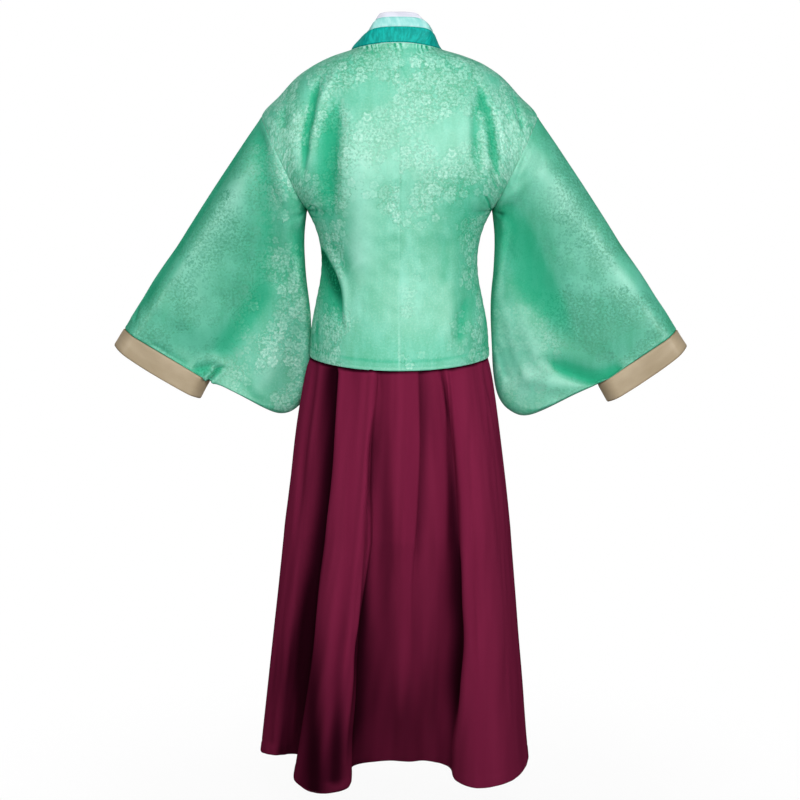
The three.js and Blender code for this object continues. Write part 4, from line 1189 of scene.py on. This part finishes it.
levels = spaced(skirtPanels["rows"] - skirtPanels["gatheredRows"], "end")
levels = np.concatenate([np.linspace(0, 1, skirtPanels["gatheredRows"])[:-1], 1 + 2 * levels])
rings = closedCurve(foldLines(levels), skirtPanels["stepsPerFold"])
seam = skirtCut["rightSeamFold"] * skirtPanels["stepsPerFold"]
for sideName, creases, points in (
    ("Back", skirtCreases, rings[:, : seam + 1]),
    ("Front", hiddenSkirtCreases, np.concatenate([rings[:, seam:], rings[:, :1]], axis=1)),
):
    cut = {**skirtPanels, **skirtPanels[sideName.lower()]}
    normals = outwardNormals(points, -1)
    x, z = points[..., 0], points[..., 2]
    across, toEnd, down, toHem = measured(points)
    held = ease(across / 14) * ease(toEnd / 14) * ease(down / 120)
    creased = creaseDepth(x, z, creases) * held
    station = across[len(across) // 2][None] + 0 * across
    waves = 0.7 * swell(station, z * 0.3, size=46, seed=cut["seed"])
    waves += 0.4 * swell(station, z * 0.15, size=21, seed=cut["seed"] + 1)
    field = creased + waves * held + hemTurn(toHem, height=20, depth=0.4)
    field = field + seamFall(across) + seamFall(toEnd)
    pleated = np.clip(pleatDepth(points), -3, 3) * ease(down / 120)
    # painted shade in the pleats' valleys and a painted highlight on their crests, from the creases, how far
    # each place stands in or out and the slow waves
    paintedShading = paintedShadingOf(creased + pleated + waves, deepest=10)
    if sideName == "Back":  # painted shade low down, to the left and on the low left lobe, and a painted shadow under the top's hem
        lower = 0.28 * ease((-780 - z) / 420) * ease((x + 130) / 80) + 0.36 * ease((x - 10) / 60)
        lower += 0.45 * ease((-1000 - z) / 180) * ease((x - 80) / 25) * ease((170 - x) / 25)
        topHem = topCut["hemSideZ"] - topCut["hemDrop"] * (1 - np.clip(x / 156, -1, 1) ** 2)
        paintedShading = paintedShading + lower + 1.3 * ease((z - topHem + 7) / 5)
    shaped = points + normals * field[..., None]
    uv = np.stack([station + cut["patternShift"], toHem], axis=2)
    sew(f"skirt{sideName}", f"skirt_{sideName.lower()}", satins["skirtSatin"], cut, shaped,
        normals, uv, paintedShading)

angle = np.linspace(0, 2 * math.pi, waistband["steps"] + 1)[None]
share = spaced(waistband["rows"], "start", "end")[:, None] / 7 + 2 / 7  # of the way from armpit to hem
points = waistPoint(np.cos(angle), np.sin(angle), blend(pitZ, topCut["hemSideZ"], share) + 0 * angle)
points[:, -1] = points[:, 0]
normals = outwardNormals(points, -1, closed=True)
across, _, down, _ = measured(points)
uv = np.stack([across, down], axis=2)
sew("skirtWaistband", "skirt_waistband", satins["skirtSatin"], waistband, points, normals, uv,
    0 * down, closed=True)
print("skirt ready")


# Studio: a pale floor that fades out, soft lights and an even pale room

studio = {
    "floorHeight": -1.42,
    "floorRadius": 2.4,
    "floorClear": 0.88,
    "roomLight": 0.14,
    "lights": {
        "nearLight": {"place": (-0.2, 2.95, 0.35), "aim": (0, 0, -0.25), "size": (0.7, 2.0), "power": 9.6,
                      "spread": 68, "gloss": True},
        "sideLight": {"place": (-2.0, 2.2, 0.35), "aim": (0, 0, -0.35), "size": (0.8, 1.4), "power": 9.2,
                      "spread": 80, "gloss": True},
        "otherSideLight": {"place": (2.1, 2.2, 0.35), "aim": (0, 0, -0.35), "size": (0.8, 1.4), "power": 6.4,
                           "spread": 80, "gloss": True},
        "frontLight": {"place": (0.8, -2.6, 0.8), "aim": (0, 0, -0.5), "size": (1.5, 2.0), "power": 44,
                       "spread": 140, "gloss": False},
        "topLight": {"place": (0.0, 0.5, 2.2), "aim": (0, 0, -0.6), "size": (1.5, 1.5), "power": 8,
                     "spread": 140, "gloss": False},
    },
}

floorMesh = bmesh.new()
bmesh.ops.create_circle(floorMesh, cap_ends=True, segments=96, radius=studio["floorRadius"])
floorData = bpy.data.meshes.new("paleFloor")
floorMesh.to_mesh(floorData)
floorMesh.free()
floor = added("paleFloor", floorData)
floor.location = (0, 0, studio["floorHeight"])
floorFinish = bpy.data.materials.new("paleFloor")
thread = emptied(floorFinish)
fromMiddle = thread.node("ShaderNodeTexCoord", {}, {}, "Object")
outward = thread.node("ShaderNodeVectorMath", {"operation": "LENGTH"}, {0: fromMiddle}, "Value")
matt = thread.node("ShaderNodeBsdfDiffuse", {}, {"Color": shade("#f6f6f6")})
clearFloor = thread.node("ShaderNodeBsdfTransparent")
pale = thread.node("ShaderNodeMixShader", {}, {0: studio["floorClear"], 1: matt, 2: clearFloor})
faded = thread.node("ShaderNodeMixShader", {}, {0: outward.clear(0.2, 1.1), 1: pale, 2: clearFloor})
thread.node("ShaderNodeOutputMaterial", {}, {"Surface": faded})
floorData.materials.append(floorFinish)

for name, facts in studio["lights"].items():
    lamp = bpy.data.lights.new(name, "AREA")
    lamp.shape = "RECTANGLE"
    lamp.size, lamp.size_y = facts["size"]
    lamp.energy = facts["power"]
    lamp.spread = math.radians(facts["spread"])
    light = added(name, lamp)
    light.location = facts["place"]
    light.visible_glossy = facts["gloss"]
    line = np.array(facts["aim"]) - np.array(facts["place"])
    down = math.acos(-line[2] / np.linalg.norm(line))
    light.rotation_euler = (down, 0, math.atan2(line[1], line[0]) - math.pi / 2)

room = bpy.data.worlds.new("paleRoom")
scene.world = room
thread = emptied(room)
seen = thread.node("ShaderNodeLightPath", {}, {}, "Is Camera Ray")
lit = thread.node("ShaderNodeBackground", {}, {"Color": (1, 1, 1, 1), "Strength": studio["roomLight"]})
shown = thread.node("ShaderNodeBackground", {}, {"Color": (1, 1, 1, 1), "Strength": 1.0})
both = thread.node("ShaderNodeMixShader", {}, {0: seen, 1: lit, 2: shown})
thread.node("ShaderNodeOutputWorld", {}, {"Surface": both})
scene.view_settings.view_transform = "Standard"
print("studio ready")
